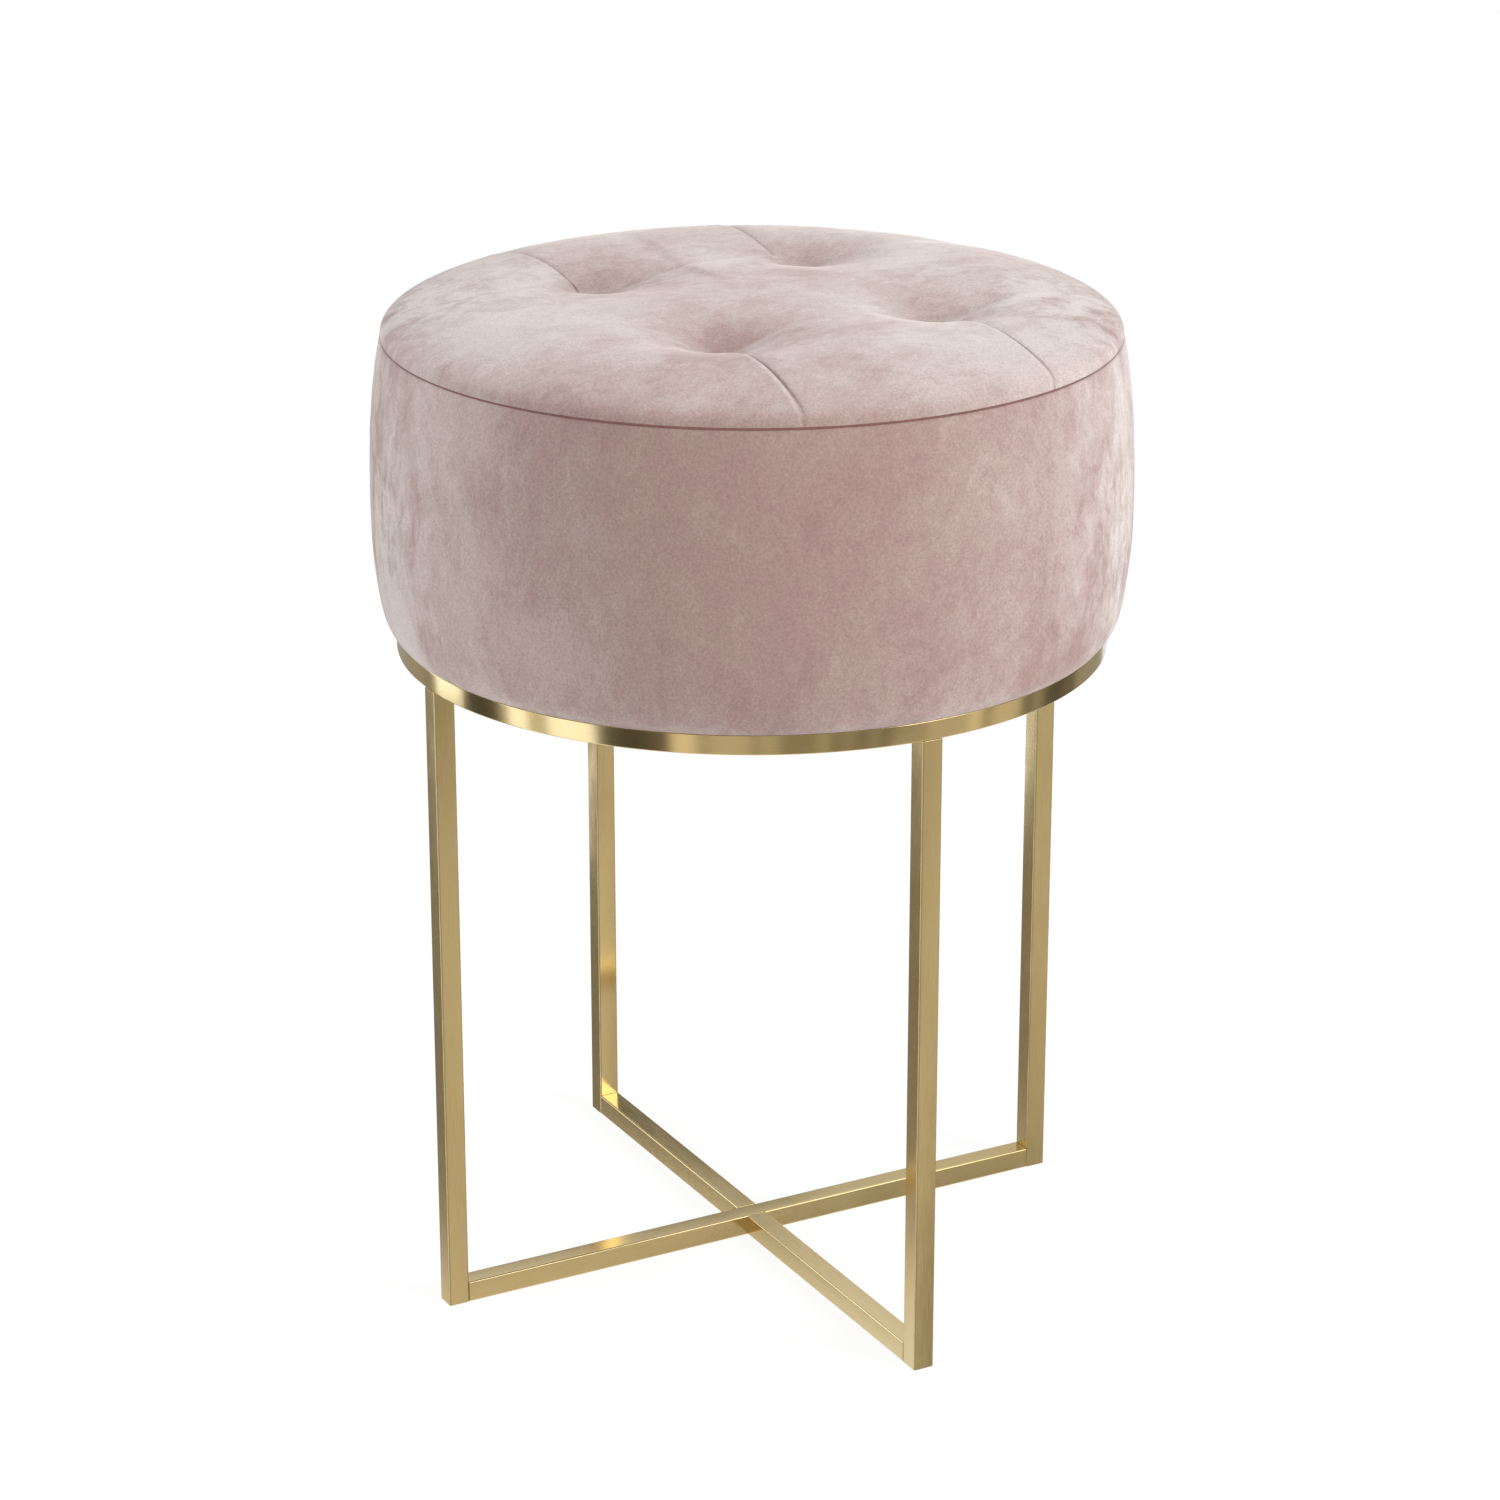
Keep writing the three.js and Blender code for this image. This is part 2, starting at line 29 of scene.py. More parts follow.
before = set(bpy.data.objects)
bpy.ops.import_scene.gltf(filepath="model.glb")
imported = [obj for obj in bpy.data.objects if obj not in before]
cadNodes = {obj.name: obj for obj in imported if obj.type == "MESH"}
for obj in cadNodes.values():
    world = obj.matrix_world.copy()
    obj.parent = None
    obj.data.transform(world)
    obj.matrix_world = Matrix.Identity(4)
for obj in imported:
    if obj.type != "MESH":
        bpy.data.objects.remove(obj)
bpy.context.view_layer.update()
print("frame loaded:", len(cadNodes), "nodes")


# small helpers

def linearColour(hexColour):
    channels = [int(hexColour[i:i + 2], 16) / 255 for i in (1, 3, 5)]
    return [c / 12.92 if c <= 0.04045 else ((c + 0.055) / 1.055) ** 2.4 for c in channels] + [1.0]


# Settings go to the input of that name or number, or else to the node itself. Numbers tell apart inputs that
# share a name: on a map range 1 to 4 are the ends of its two ranges, on a mix 0 is the share, 2 and 3 are
# plain values, and 6 and 7 are colours. A link from a node comes from its first output.
def addNode(tree, kind, settings=None, links=None):
    node = tree.nodes.new("ShaderNode" + kind)
    for key, value in (settings or {}).items():
        if isinstance(key, int) or key in node.inputs:
            node.inputs[key].default_value = value
        elif key == "stops":
            ramp = node.color_ramp
            while len(ramp.elements) < len(value):
                ramp.elements.new(0.5)
            for element, (place, hexColour) in zip(ramp.elements, value):
                element.position = place
                element.color = linearColour(hexColour)
        else:
            setattr(node, key, value)
    for key, source in (links or {}).items():
        tree.links.new(getattr(source, "outputs", [source])[0], node.inputs[key])
    return node


# the node tree of a new material or world, with nothing in it yet
def emptyTree(owner):
    owner.use_nodes = True
    owner.node_tree.nodes.clear()
    return owner.node_tree


# a material with its shader, and the place that its patterns are measured from
def startMaterial(name, settings):
    material = bpy.data.materials.new(name)
    tree = emptyTree(material)
    shader = addNode(tree, "BsdfPrincipled", settings)
    addNode(tree, "OutputMaterial", {}, {"Surface": shader})
    place = addNode(tree, "TexCoord")
    return material, tree, shader, place


def addMesh(name, points, faces, material, smooth=True):
    mesh = bpy.data.meshes.new(name)
    mesh.from_pydata([tuple(p) for p in points], [], faces)
    mesh.validate()
    mesh.update()
    piece = bpy.data.objects.new(name, mesh)
    bpy.context.scene.collection.objects.link(piece)
    piece.data.materials.append(material)
    piece.data.polygons.foreach_set("use_smooth", [smooth] * len(mesh.polygons))
    return piece


# numbers at the points of a mesh, which its material reads by name
def addMarks(piece, marks):
    for name, values in marks.items():
        layer = piece.data.attributes.new(name, "FLOAT", "POINT")
        layer.data.foreach_set("value", values.astype(np.float32))


# faces between two closed loops of as many points, wound the other way round where flipped
def bridge(first, second, flipped=False):
    faces = zip(first, second, second[1:] + second[:1], first[1:] + first[:1])
    return [(a, d, c, b) if flipped else (a, b, c, d) for a, b, c, d in faces]


# faces of a closed body of loops on each other, each of so many points
def stackedFaces(points, count):
    loops = [list(range(start, start + count)) for start in range(0, len(points), count)]
    faces = []
    for lower, upper in zip(loops, loops[1:]):
        faces += bridge(lower, upper, flipped=True)
    return [*faces, tuple(reversed(loops[0])), tuple(loops[-1])]


# makes cloth of this thickness of a mesh that is its outer face
def thicken(piece, thickness):
    solid = piece.modifiers.new("thickness", "SOLIDIFY")
    solid.thickness = thickness * mm
    solid.offset = -1


# camera, at the photograph's angle and distance
cameraPlace = {
    "target": (0, 0, 244.8), "distance": 2010.3, "azimuth": -28.508, "elevation": 19.953,
    "lens": 104.44, "sensor": 36, "shiftX": -0.00134,
}


def makeCamera(place):
    turn, rise = math.radians(place["azimuth"]), math.radians(place["elevation"])
    back = Vector((math.sin(turn) * math.cos(rise), -math.cos(turn) * math.cos(rise), math.sin(rise)))
    data = bpy.data.cameras.new("camera")
    data.lens = place["lens"]
    data.sensor_width = place["sensor"]
    data.shift_x = place["shiftX"]
    camera = bpy.data.objects.new("camera", data)
    camera.location = (Vector(place["target"]) + back * place["distance"]) * mm
    camera.rotation_mode = "QUATERNION"
    camera.rotation_quaternion = (-back).to_track_quat("-Z", "Y")
    bpy.context.scene.collection.objects.link(camera)
    bpy.context.scene.camera = camera


makeCamera(cameraPlace)
print("camera placed")


# materials

# Polyester velvet, a short cut pile on a knit back, a deeper dusty pink. The paleness it shows at a
# glancing angle is painted sheen: a pale colour mixed into its base colour by how far it is seen from the
# side, most of all where the pile has been brushed up, in soft streaks and patches.
def crushedVelvet(name, settings):
    material, tree, shader, place = startMaterial(name, {
        "Roughness": 0.85, "Specular IOR Level": 0.15, "Sheen Weight": settings["sheen"],
        "Sheen Roughness": settings["sheenRoughness"], "Sheen Tint": linearColour(settings["sheenTint"]),
    })
    where = place.outputs["Object"]
    lying = addNode(tree, "VectorMath", {"operation": "MULTIPLY", 1: settings["strokeShape"]}, {0: where})
    # three sizes of the marks that hands leave: broad patches, strokes and small flecks
    marks = []
    for size, detail, low, high in settings["marks"]:
        field = addNode(tree, "TexNoise", {
            "Scale": 1 / (size * mm), "Detail": detail, "Roughness": 0.6, "Distortion": 0.7,
        }, {"Vector": lying})
        marks.append(addNode(tree, "MapRange", {1: low, 2: high}, {0: field}))
    broad, strokes, flecks = marks
    nap = addNode(tree, "Mix", {0: settings["strokeShare"]}, {2: broad, 3: strokes})
    nap = addNode(tree, "Mix", {0: settings["fleckShare"]}, {2: nap, 3: flecks})
    # and what each cover lists: broad patches with painted sheen and shade, the pleats' painted highlights,
    # and places where the marks are stronger
    mottled = addNode(tree, "Attribute", {"attribute_name": "mottled"})
    brushedAndPaintedLight = addNode(tree, "Attribute", {"attribute_name": "brushed"})
    uneven = addNode(tree, "Math", {"operation": "SUBTRACT", 1: settings["evenNap"]}, {0: nap})
    uneven = addNode(tree, "Math", {"operation": "MULTIPLY"}, {0: uneven, 1: mottled.outputs["Fac"]})
    lay = addNode(tree, "Math", {"operation": "ADD"}, {0: nap, 1: uneven})
    lay = addNode(tree, "Math", {"operation": "ADD"}, {0: lay, 1: brushedAndPaintedLight.outputs["Fac"]})
    deep = addNode(tree, "ValToRGB", {"stops": settings["deepColours"]}, {0: lay})
    # painted sheen: how far the pile is seen from the side, stronger where it is brushed up
    glance = addNode(tree, "LayerWeight", {"Blend": 0.5})
    rise = addNode(tree, "MapRange", {1: settings["glanceFrom"], 4: settings["paintedSheenShare"]},
                   {0: glance.outputs["Facing"]})
    laidDown, raised = settings["layRange"]
    brushedUp = addNode(tree, "MapRange", {
        1: laidDown, 2: raised, 3: 1 - settings["napContrast"], 4: 1 + settings["napContrast"],
    }, {0: lay})
    paintedSheenMask = addNode(tree, "Math", {"operation": "MULTIPLY", "use_clamp": True}, {0: rise, 1: brushedUp})
    paintedSheen = addNode(tree, "Mix", {"data_type": "RGBA", 7: linearColour(settings["paintedSheen"])},
                   {0: paintedSheenMask, 6: deep})
    # The cut ends of the pile. They are drawn coarser than real ones, which no picture of this size shows.
    grain = addNode(tree, "TexNoise", {
        "Scale": 1 / (settings["grain"] * mm), "Detail": 2, "Roughness": 0.7,
    }, {"Vector": where})
    fibres = addNode(tree, "ValToRGB", {"stops": settings["grainColours"]}, {0: grain})
    mixed = addNode(tree, "Mix", {"data_type": "RGBA", "blend_type": "MULTIPLY", 0: 1.0},
                    {6: paintedSheen.outputs[2], 7: fibres})
    # painted shade: a dark line along the slit at the edge of each pleat
    parting = addNode(tree, "Attribute", {"attribute_name": "parting"})
    mixed = addNode(tree, "Mix", {"data_type": "RGBA", 7: linearColour(settings["pleatShadeColour"])},
                    {0: parting.outputs["Fac"], 6: mixed.outputs[2]})
    tree.links.new(mixed.outputs[2], shader.inputs["Base Color"])
    pile = addNode(tree, "Bump", {"Strength": 0.35, "Distance": 0.2 * mm}, {"Height": grain})
    brushed = addNode(tree, "Bump", {"Strength": 0.3, "Distance": 0.4 * mm},
                      {"Height": nap, "Normal": pile})
    tree.links.new(brushed.outputs[0], shader.inputs["Normal"])
    return material


velvetCloth = {
    # size in mm, detail, and the two noise levels that count as laid down and brushed up
    "marks": [(42, 3, 0.34, 0.66), (15, 4, 0.34, 0.66), (5, 4, 0.36, 0.64)],
    "strokeShare": 0.45, "fleckShare": 0.28, "evenNap": 0.5,
    # marks are drawn out along X and most of all along Z; the grain's size is in mm
    "strokeShape": (0.8, 1.0, 0.55), "grain": 1.1,
    "deepColours": [(0.15, "#ad8f8a"), (0.45, "#b39590"), (0.6, "#b2978f"), (0.9, "#b99e98")],
    # how strong the painted sheen is from the side, and how far that varies with its lay
    "paintedSheen": "#e9dfdc", "paintedSheenShare": 0.68, "glanceFrom": 0.04, "layRange": (-0.1, 1.1), "napContrast": 0.9,
    "grainColours": [(0.3, "#dedede"), (0.7, "#ffffff")],
    "sheen": 0.6, "sheenRoughness": 0.4, "sheenTint": "#f1e6e2", "pleatShadeColour": "#80605a",
}
velvet = crushedVelvet("pinkVelvet", velvetCloth)
# the same cloth on the seat top, painted a little paler for the light that falls on the top
paintedLitTopVelvet = crushedVelvet("pinkVelvetPaintedLighterTop", {
    **velvetCloth, "deepColours": [(0.15, "#b29691"), (0.45, "#b89c97"), (0.6, "#b89f98"), (0.9, "#bea7a1")],
})


# Steel plated in brass colour and brushed along its length, then lacquered. The fine grooves pull
# highlights out across the grain, and the edges stay bright.
def brushedBrass(settings):
    material, tree, shader, place = startMaterial("brushedBrass", {
        "Metallic": 1.0, "Roughness": settings["roughness"], "Anisotropic": settings["anisotropic"],
        "Anisotropic Rotation": 0.25,
    })
    tangent = addNode(tree, "Tangent", {"direction_type": "UV_MAP", "uv_map": "grain"})
    tree.links.new(tangent.outputs[0], shader.inputs["Tangent"])
    along = addNode(tree, "UVMap", {"uv_map": "grain"})
    stretched = addNode(tree, "VectorMath", {
        "operation": "MULTIPLY",
        1: (1 / (settings["grooveLength"] * mm), 1 / (settings["grooveWidth"] * mm), 0),
    }, {0: along})
    grooves = addNode(tree, "TexNoise", {"noise_dimensions": "2D", "Scale": 1, "Detail": 3},
                      {"Vector": stretched})
    film = addNode(tree, "TexNoise", {"Scale": 1 / (settings["film"] * mm), "Detail": 3},
                   {"Vector": place.outputs["Object"]})
    tone = addNode(tree, "Mix", {0: settings["filmShare"]}, {2: grooves, 3: film})
    colour = addNode(tree, "ValToRGB", {"stops": settings["colours"]}, {0: tone})
    tree.links.new(colour.outputs[0], shader.inputs["Base Color"])
    (dark, light), (least, most) = settings["toneRange"], settings["roughnessSpread"]
    rough = addNode(tree, "MapRange", {
        1: dark, 2: light, 3: settings["roughness"] * least, 4: settings["roughness"] * most,
    }, {0: tone})
    tree.links.new(rough.outputs[0], shader.inputs["Roughness"])
    bump = addNode(tree, "Bump", {"Strength": 0.12, "Distance": 0.05 * mm}, {"Height": grooves})
    tree.links.new(bump.outputs[0], shader.inputs["Normal"])
    return material


brass = brushedBrass({
    # grooves and the lacquer film in mm
    "roughness": 0.16, "anisotropic": 0.4, "grooveLength": 14, "grooveWidth": 0.25, "film": 30,
    "filmShare": 0.5, "toneRange": (0.3, 0.7), "roughnessSpread": (0.85, 1.2),
    "colours": [(0.3, "#d6bd86"), (0.7, "#dfc892")],
})


# one recipe for the matter inside and under the seat: a colour that varies at a real size, and relief
def plainMatter(name, settings):
    material, tree, shader, place = startMaterial(name, {
        "Metallic": settings.get("metallic", 0.0), "Roughness": settings["roughness"],
        "Sheen Weight": settings.get("sheen", 0.0), "Sheen Roughness": 0.4,
    })
    stretched = addNode(tree, "VectorMath", {
        "operation": "MULTIPLY", 1: [1 / (size * mm) for size in settings["size"]],
    }, {0: place.outputs["Object"]})
    figure = addNode(tree, "TexNoise", {
        "Scale": 1, "Detail": 5, "Roughness": 0.6, "Distortion": settings.get("swirl", 0.0),
    }, {"Vector": stretched})
    colour = addNode(tree, "ValToRGB", {"stops": settings["colours"]}, {0: figure})
    tree.links.new(colour.outputs[0], shader.inputs["Base Color"])
    fine = addNode(tree, "TexNoise", {"Scale": 1 / (settings["grit"] * mm), "Detail": 3},
                   {"Vector": place.outputs["Object"]})
    bump = addNode(tree, "Bump", {
        "Strength": settings["relief"], "Distance": settings["grit"] * mm,
    }, {"Height": fine})
    tree.links.new(bump.outputs[0], shader.inputs["Normal"])
    return material


matters = {
    # bright zinc plating: a cool grey with a soft cloudy sheen
    "zincPlate": {"metallic": 1.0, "roughness": 0.34, "size": (3, 3, 3), "grit": 0.3, "relief": 0.15,
                  "colours": [(0.3, "#a9adb1"), (0.7, "#c6c9cb")]},
    # steel tabs plated in brass colour, left as rolled: duller than the brushed tube
    "brassPlate": {"metallic": 1.0, "roughness": 0.3, "size": (14, 14, 3), "grit": 0.4, "relief": 0.12,
                   "colours": [(0.3, "#cdb27a"), (0.7, "#dcc48c")]},
    # moulded polyethylene: near black with a fine spark-eroded skin
    "mouldedPolyethylene": {"roughness": 0.55, "size": (2, 2, 2), "grit": 0.2, "relief": 0.3,
                            "colours": [(0.3, "#1b1a19"), (0.7, "#26251f")]},
    # rotary-cut birch plywood: long pale figure along X
    "birchPlywood": {"roughness": 0.7, "size": (90, 6, 6), "grit": 0.5, "relief": 0.25, "swirl": 1.2,
                     "colours": [(0.25, "#b58f61"), (0.5, "#cdaa7a"), (0.75, "#dcbf93")]},
    # planed pine: upright grain in early and late wood
    "planedPine": {"roughness": 0.62, "size": (3, 3, 60), "grit": 0.4, "relief": 0.25, "swirl": 0.8,
                   "colours": [(0.3, "#b98a50"), (0.55, "#d8b27a"), (0.8, "#e6c893")]},
    # pressed hardboard: brown felted fibres
    "pressedHardboard": {"roughness": 0.75, "size": (1.5, 1.5, 1.5), "grit": 0.4, "relief": 0.4,
                         "colours": [(0.3, "#6b4c33"), (0.7, "#8a6748")]},
    # open-cell foam: pale cream pores
    "openCellFoam": {"roughness": 0.95, "size": (1.2, 1.2, 1.2), "grit": 0.8, "relief": 0.8,
                     "colours": [(0.35, "#cfc29c"), (0.6, "#ece2c6")]},
    # non-woven cambric: black fibre felt
    "blackCambric": {"roughness": 0.9, "size": (0.9, 0.9, 0.9), "grit": 0.45, "relief": 0.7,
                     "colours": [(0.3, "#131314"), (0.7, "#29292b")]},
    # polyester sewing thread, deep dusty brown as painted shade of the rim seam
    "seamShadeThread": {"roughness": 0.8, "sheen": 0.8, "size": (1.5, 1.5, 1.5), "grit": 0.3, "relief": 0.4,
                   "colours": [(0.3, "#74504a"), (0.7, "#865f58")]},
    # waxed twine: cream strands
    "waxedTwine": {"roughness": 0.6, "size": (0.5, 0.5, 2.5), "grit": 0.3, "relief": 0.5,
                   "colours": [(0.3, "#bfb190"), (0.7, "#e0d6bc")]},
}
matter = {name: plainMatter(name, settings) for name, settings in matters.items()}
print("materials made")


# seat cover: the same crown as the model's source, finer, with the sewn pleats folded in

seat = {
    "seamRadius": 165.8, "seamHeight": 445, "edgeHeight": 445.5,
    "crownRise": 20, "crownFlatness": 2.5, "crownRoundness": 0.37, "rimSharpness": 12,
    "puffRise": 2, "puffPlaceShare": 0.74, "puffWidthShare": 0.17,
    # Tufts: X, which half, depth, and how far and how deep the crease on its right runs along X. The panel on
    # the left of each pleat stays fuller than the right, so the bowl is narrower there.
    "tuftY": 57, "tuftWidth": {1: 28, -1: 25}, "tuftSharpness": 1.4,
    "tufts": [(-46, 1, 10.4, 40, 2.4), (61.5, 1, 10.4, 32, 3.4),
              (-46, -1, 12.6, 26, 2.6), (61.5, -1, 11.6, 40, 4.2)],
    "pinchDepth": 2.1, "pinchWidth": 6, "dipBlend": 3,
    "panelWidth": {1: 13, -1: 25}, "skirtWidth": {1: -8, -1: 5}, "skirtStart": 3,
    # how far beside a pleat its panel reaches, and where and over how many degrees it fades round the end
    "panelReach": 50, "panelEnd": 155, "panelFade": 65,
    "creaseWidth": 3.9, "creaseLeft": 18, "creaseStart": 12,
    # the hollows from tuft to tuft, weaker between the back and the front pair
    "valleyDepth": 1.6, "valleyWidth": 14, "innerShare": 0.6, "innerEnd": 5,
    # pleats: where each starts by its tuft and ends at the rim, left and right, and how it is folded
    "backPleats": ((-58.8, -58.5), (44.5, 56)), "frontPleats": ((-50, -59.4), (60, 62.5)),
    "foldLift": 0.25, "foldRound": 2.6, "edgeDrop": 0.5, "edgeRound": 0.9,
    "stepTuft": {1: 2.4, -1: 1.2}, "stepRim": 0.35, "stepWidthTuft": 7, "stepWidthRim": 4,
    "slitDepth": {1: 2.2, -1: 1.2}, "slitPlace": 0.55, "slitWidth": 0.42,
    "foldEdge": 0.02, "foldStart": 4, "foldRimShare": 0.45,
    # at a pleat's edge a thin line of painted shade, and beside it, on the rolled edge, a painted highlight
    "shadePlace": {1: -0.9, -1: -0.1}, "shadeWidth": {1: 1.1, -1: 0.55}, "shadeShare": {1: 1.0, -1: 0.5},
    "shadeStart": 3, "edgeHighlightPlace": -1.5, "edgeHighlightWidth": 0.8, "edgeHighlightShare": 0.7,
    # patches where the pile is brushed up, or laid down below 0, which also paint paler sheen on the rims and
    # shade round the tufts: X, Y, reach, how much
    "patches": [(-131, 8, 28, 0.4), (-126, 68, 30, 0.35), (-88, -18, 22, 0.2), (-39, 69, 17, 0.1),
                (69, 70, 17, -0.05), (-35, 32, 14, -0.3), (30, -40, 22, 0.35), (104, 44, 20, 0.2),
                (94, 20, 17, 0.75), (14, 63, 16, 0.55), (-84, 66, 12, 0.35), (-128, -3, 16, 0.45),
                (122, -45, 16, 0.45), (58, -120, 18, 0.4), (34, -134, 16, 0.35), (-63, -87, 19, -0.7),
                (20, -114, 20, 0.25), (82, -130, 20, 0.45), (116, -84, 28, 0.42), (-74, 72, 15, 0.3),
                (-140, -22, 20, 0.3), (-112, -42, 22, 0.25), (8, -154, 24, 0.4), (-38, -45, 18, -0.35),
                (-20, -76, 14, -0.25), (62, -43, 16, -0.4), (50, -151, 20, 0.65),
                (-60, 34, 16, -0.65), (38, 20, 16, -0.3), (134, -74, 16, 0.4), (-148, 22, 14, 0.2)],
    # where the pile's marks, and the sheen painted with them, are drawn stronger, near both ends of the seat:
    # X, Y, reach, how much
    "mottled": [(-140, 70, 42, 1.6), (128, -78, 44, 1.8)],
    # how the edge turns under at the seam: inward, down
    "edgeTurn": [(0.3, 0.35), (1.0, 0.5), (2.4, 0.5)],
    # the mesh
    "thickness": 1.5, "columns": 56, "rows": 100, "packing": 0.88, "loops": 46, "loopPacking": 1.6,
}


# the setting for the back or the front half
def byHalf(y, key):
    return np.where(y > 0, seat[key][1], seat[key][-1])


# for the left and the right pleat of each half: where it starts, how far along it a place is from 0 to 1,
# and how far to its right
def pleatRuns(x, y):
    runs = []
    for back, front in zip(seat["backPleats"], seat["frontPleats"]):
        start, end = (np.where(y > 0, back[i], front[i]) for i in (0, 1))
        rimY = np.sqrt(seat["seamRadius"] ** 2 - end ** 2)
        along = np.clip((np.abs(y) - seat["tuftY"]) / (rimY - seat["tuftY"]), 0, 1)
        runs.append((start, along, x - (start + (end - start) * along)))
    return runs


# height of the seat cover over arrays of places, in millimetres
def seatHeight(x, y):
    s = seat
    radius = np.hypot(x, y)
    share = np.minimum(1, radius / s["seamRadius"])
    inward = 1 - share ** s["rimSharpness"]
    outward = np.abs(y) - s["tuftY"]
    pleats = panel = skirt = 0
    for start, along, gap in pleatRuns(x, y):
        step = byHalf(y, "stepTuft") * (1 - along) + s["stepRim"] * along
        width = s["stepWidthTuft"] + (s["stepWidthRim"] - s["stepWidthTuft"]) * along
        # the left panel rolls over at its edge, then a slit, then the lower right panel
        edge = s["edgeDrop"] * np.exp(-np.abs(gap) / s["edgeRound"])
        lift = s["foldLift"] * np.exp(-(((gap + s["foldRound"]) / s["foldRound"]) ** 2))
        slit = byHalf(y, "slitDepth") * np.exp(-(((gap - s["slitPlace"]) / s["slitWidth"]) ** 2))
        lower = gap > s["foldEdge"]
        fold = np.where(lower, step * np.exp(-np.abs(gap) / width) + edge, edge - lift) + slit
        pleats = pleats + fold * np.clip(outward / s["foldStart"], 0, 1)
        # 1 on the left of the pleat, fading on its way round the pleat's inner end
        turned = np.degrees(np.arctan2(-(x - start), outward))
        fade = np.clip((s["panelEnd"] - turned) / s["panelFade"], 0, 1)
        left = np.where(outward > 0, ~lower, np.where(turned > 0, fade * fade * (3 - 2 * fade), 0))
        panel = panel + np.where(np.abs(gap) < s["panelReach"], left, 0)
        beside = (outward > 0) & lower & (gap < s["panelReach"])
        right = np.where(beside, np.cos(np.radians(turned)) ** 2, 0)
        skirt = skirt + right * np.clip(outward / s["skirtStart"], 0, 1)
    panel = np.clip(panel, 0, 1)
    bowls = creases = 0
    for tuftX, half, depth, creaseRight, creaseDepth in s["tufts"]:
        beside = x - tuftX
        reach = np.where(beside > 0, creaseRight, s["creaseLeft"])
        away = np.hypot(beside, y - half * s["tuftY"])
        width = (s["tuftWidth"][half] * (1 - panel) + s["panelWidth"][half] * panel
                 + s["skirtWidth"][half] * skirt)
        bowl = depth * np.exp(-((away / width) ** s["tuftSharpness"]))
        bowls = bowls + (bowl + s["pinchDepth"] * np.exp(-away / s["pinchWidth"])) ** s["dipBlend"]
        crease = np.exp(-((beside / reach) ** 2)) * np.exp(-np.abs(y - half * s["tuftY"]) / s["creaseWidth"])
        creases = creases + creaseDepth * crease * (1 - np.exp(-((away / s["creaseStart"]) ** 2)))
    between = np.exp(-((outward / s["valleyWidth"]) ** 2))
    for tuftX in (s["tufts"][0][0], s["tufts"][1][0]):
        inner = np.exp(-(((x - tuftX) / s["valleyWidth"]) ** 2)) / (1 + np.exp(outward / s["innerEnd"]))
        between = np.maximum(between, inner * s["innerShare"])
    dip = (bowls + (s["valleyDepth"] * between) ** s["dipBlend"]) ** (1 / s["dipBlend"]) + creases
    puff = s["puffRise"] * np.exp(-(((share - s["puffPlaceShare"]) / s["puffWidthShare"]) ** 2))
    crown = s["crownRise"] * (1 - share ** s["crownFlatness"]) ** s["crownRoundness"]
    folded = s["foldRimShare"] + (1 - s["foldRimShare"]) * inward
    return s["seamHeight"] + crown + inward * (puff - dip) - folded * pleats


# how much soft round patches add up to at arrays of places, each given as its place, reach and how much
def softPatches(x, y, patches):
    return sum(share * np.exp(-((x - patchX) ** 2 + (y - patchY) ** 2) / reach ** 2)
               for patchX, patchY, reach, share in patches)


# for the material: the painted shade along each pleat, and how far the pile is brushed up, with painted
# highlights and sheen in that
def pileLayWithPaintedLight(x, y):
    s = seat
    parting, brushed = np.zeros_like(x), np.zeros_like(x)
    for start, along, gap in pleatRuns(x, y):
        begun = np.clip((np.abs(y) - s["tuftY"]) / s["shadeStart"], 0, 1)
        slitShade = np.exp(-(((gap - byHalf(y, "shadePlace")) / byHalf(y, "shadeWidth")) ** 2))
        parting = np.maximum(parting, byHalf(y, "shadeShare") * slitShade * begun)
        # painted highlight along the rolled edge on the left of each pleat
        brushed += s["edgeHighlightShare"] * np.exp(-(((gap - s["edgeHighlightPlace"]) / s["edgeHighlightWidth"]) ** 2)) * begun * along
    brushed += softPatches(x, y, s["patches"])
    return {"parting": parting, "brushed": brushed, "mottled": softPatches(x, y, s["mottled"])}


# places from -1 to 1, packed closer towards both ends
def packedPlaces(count, packing):
    even = np.linspace(-1, 1, count + 1)
    return (1 - packing) * even + packing * np.sin(even * math.pi / 2)


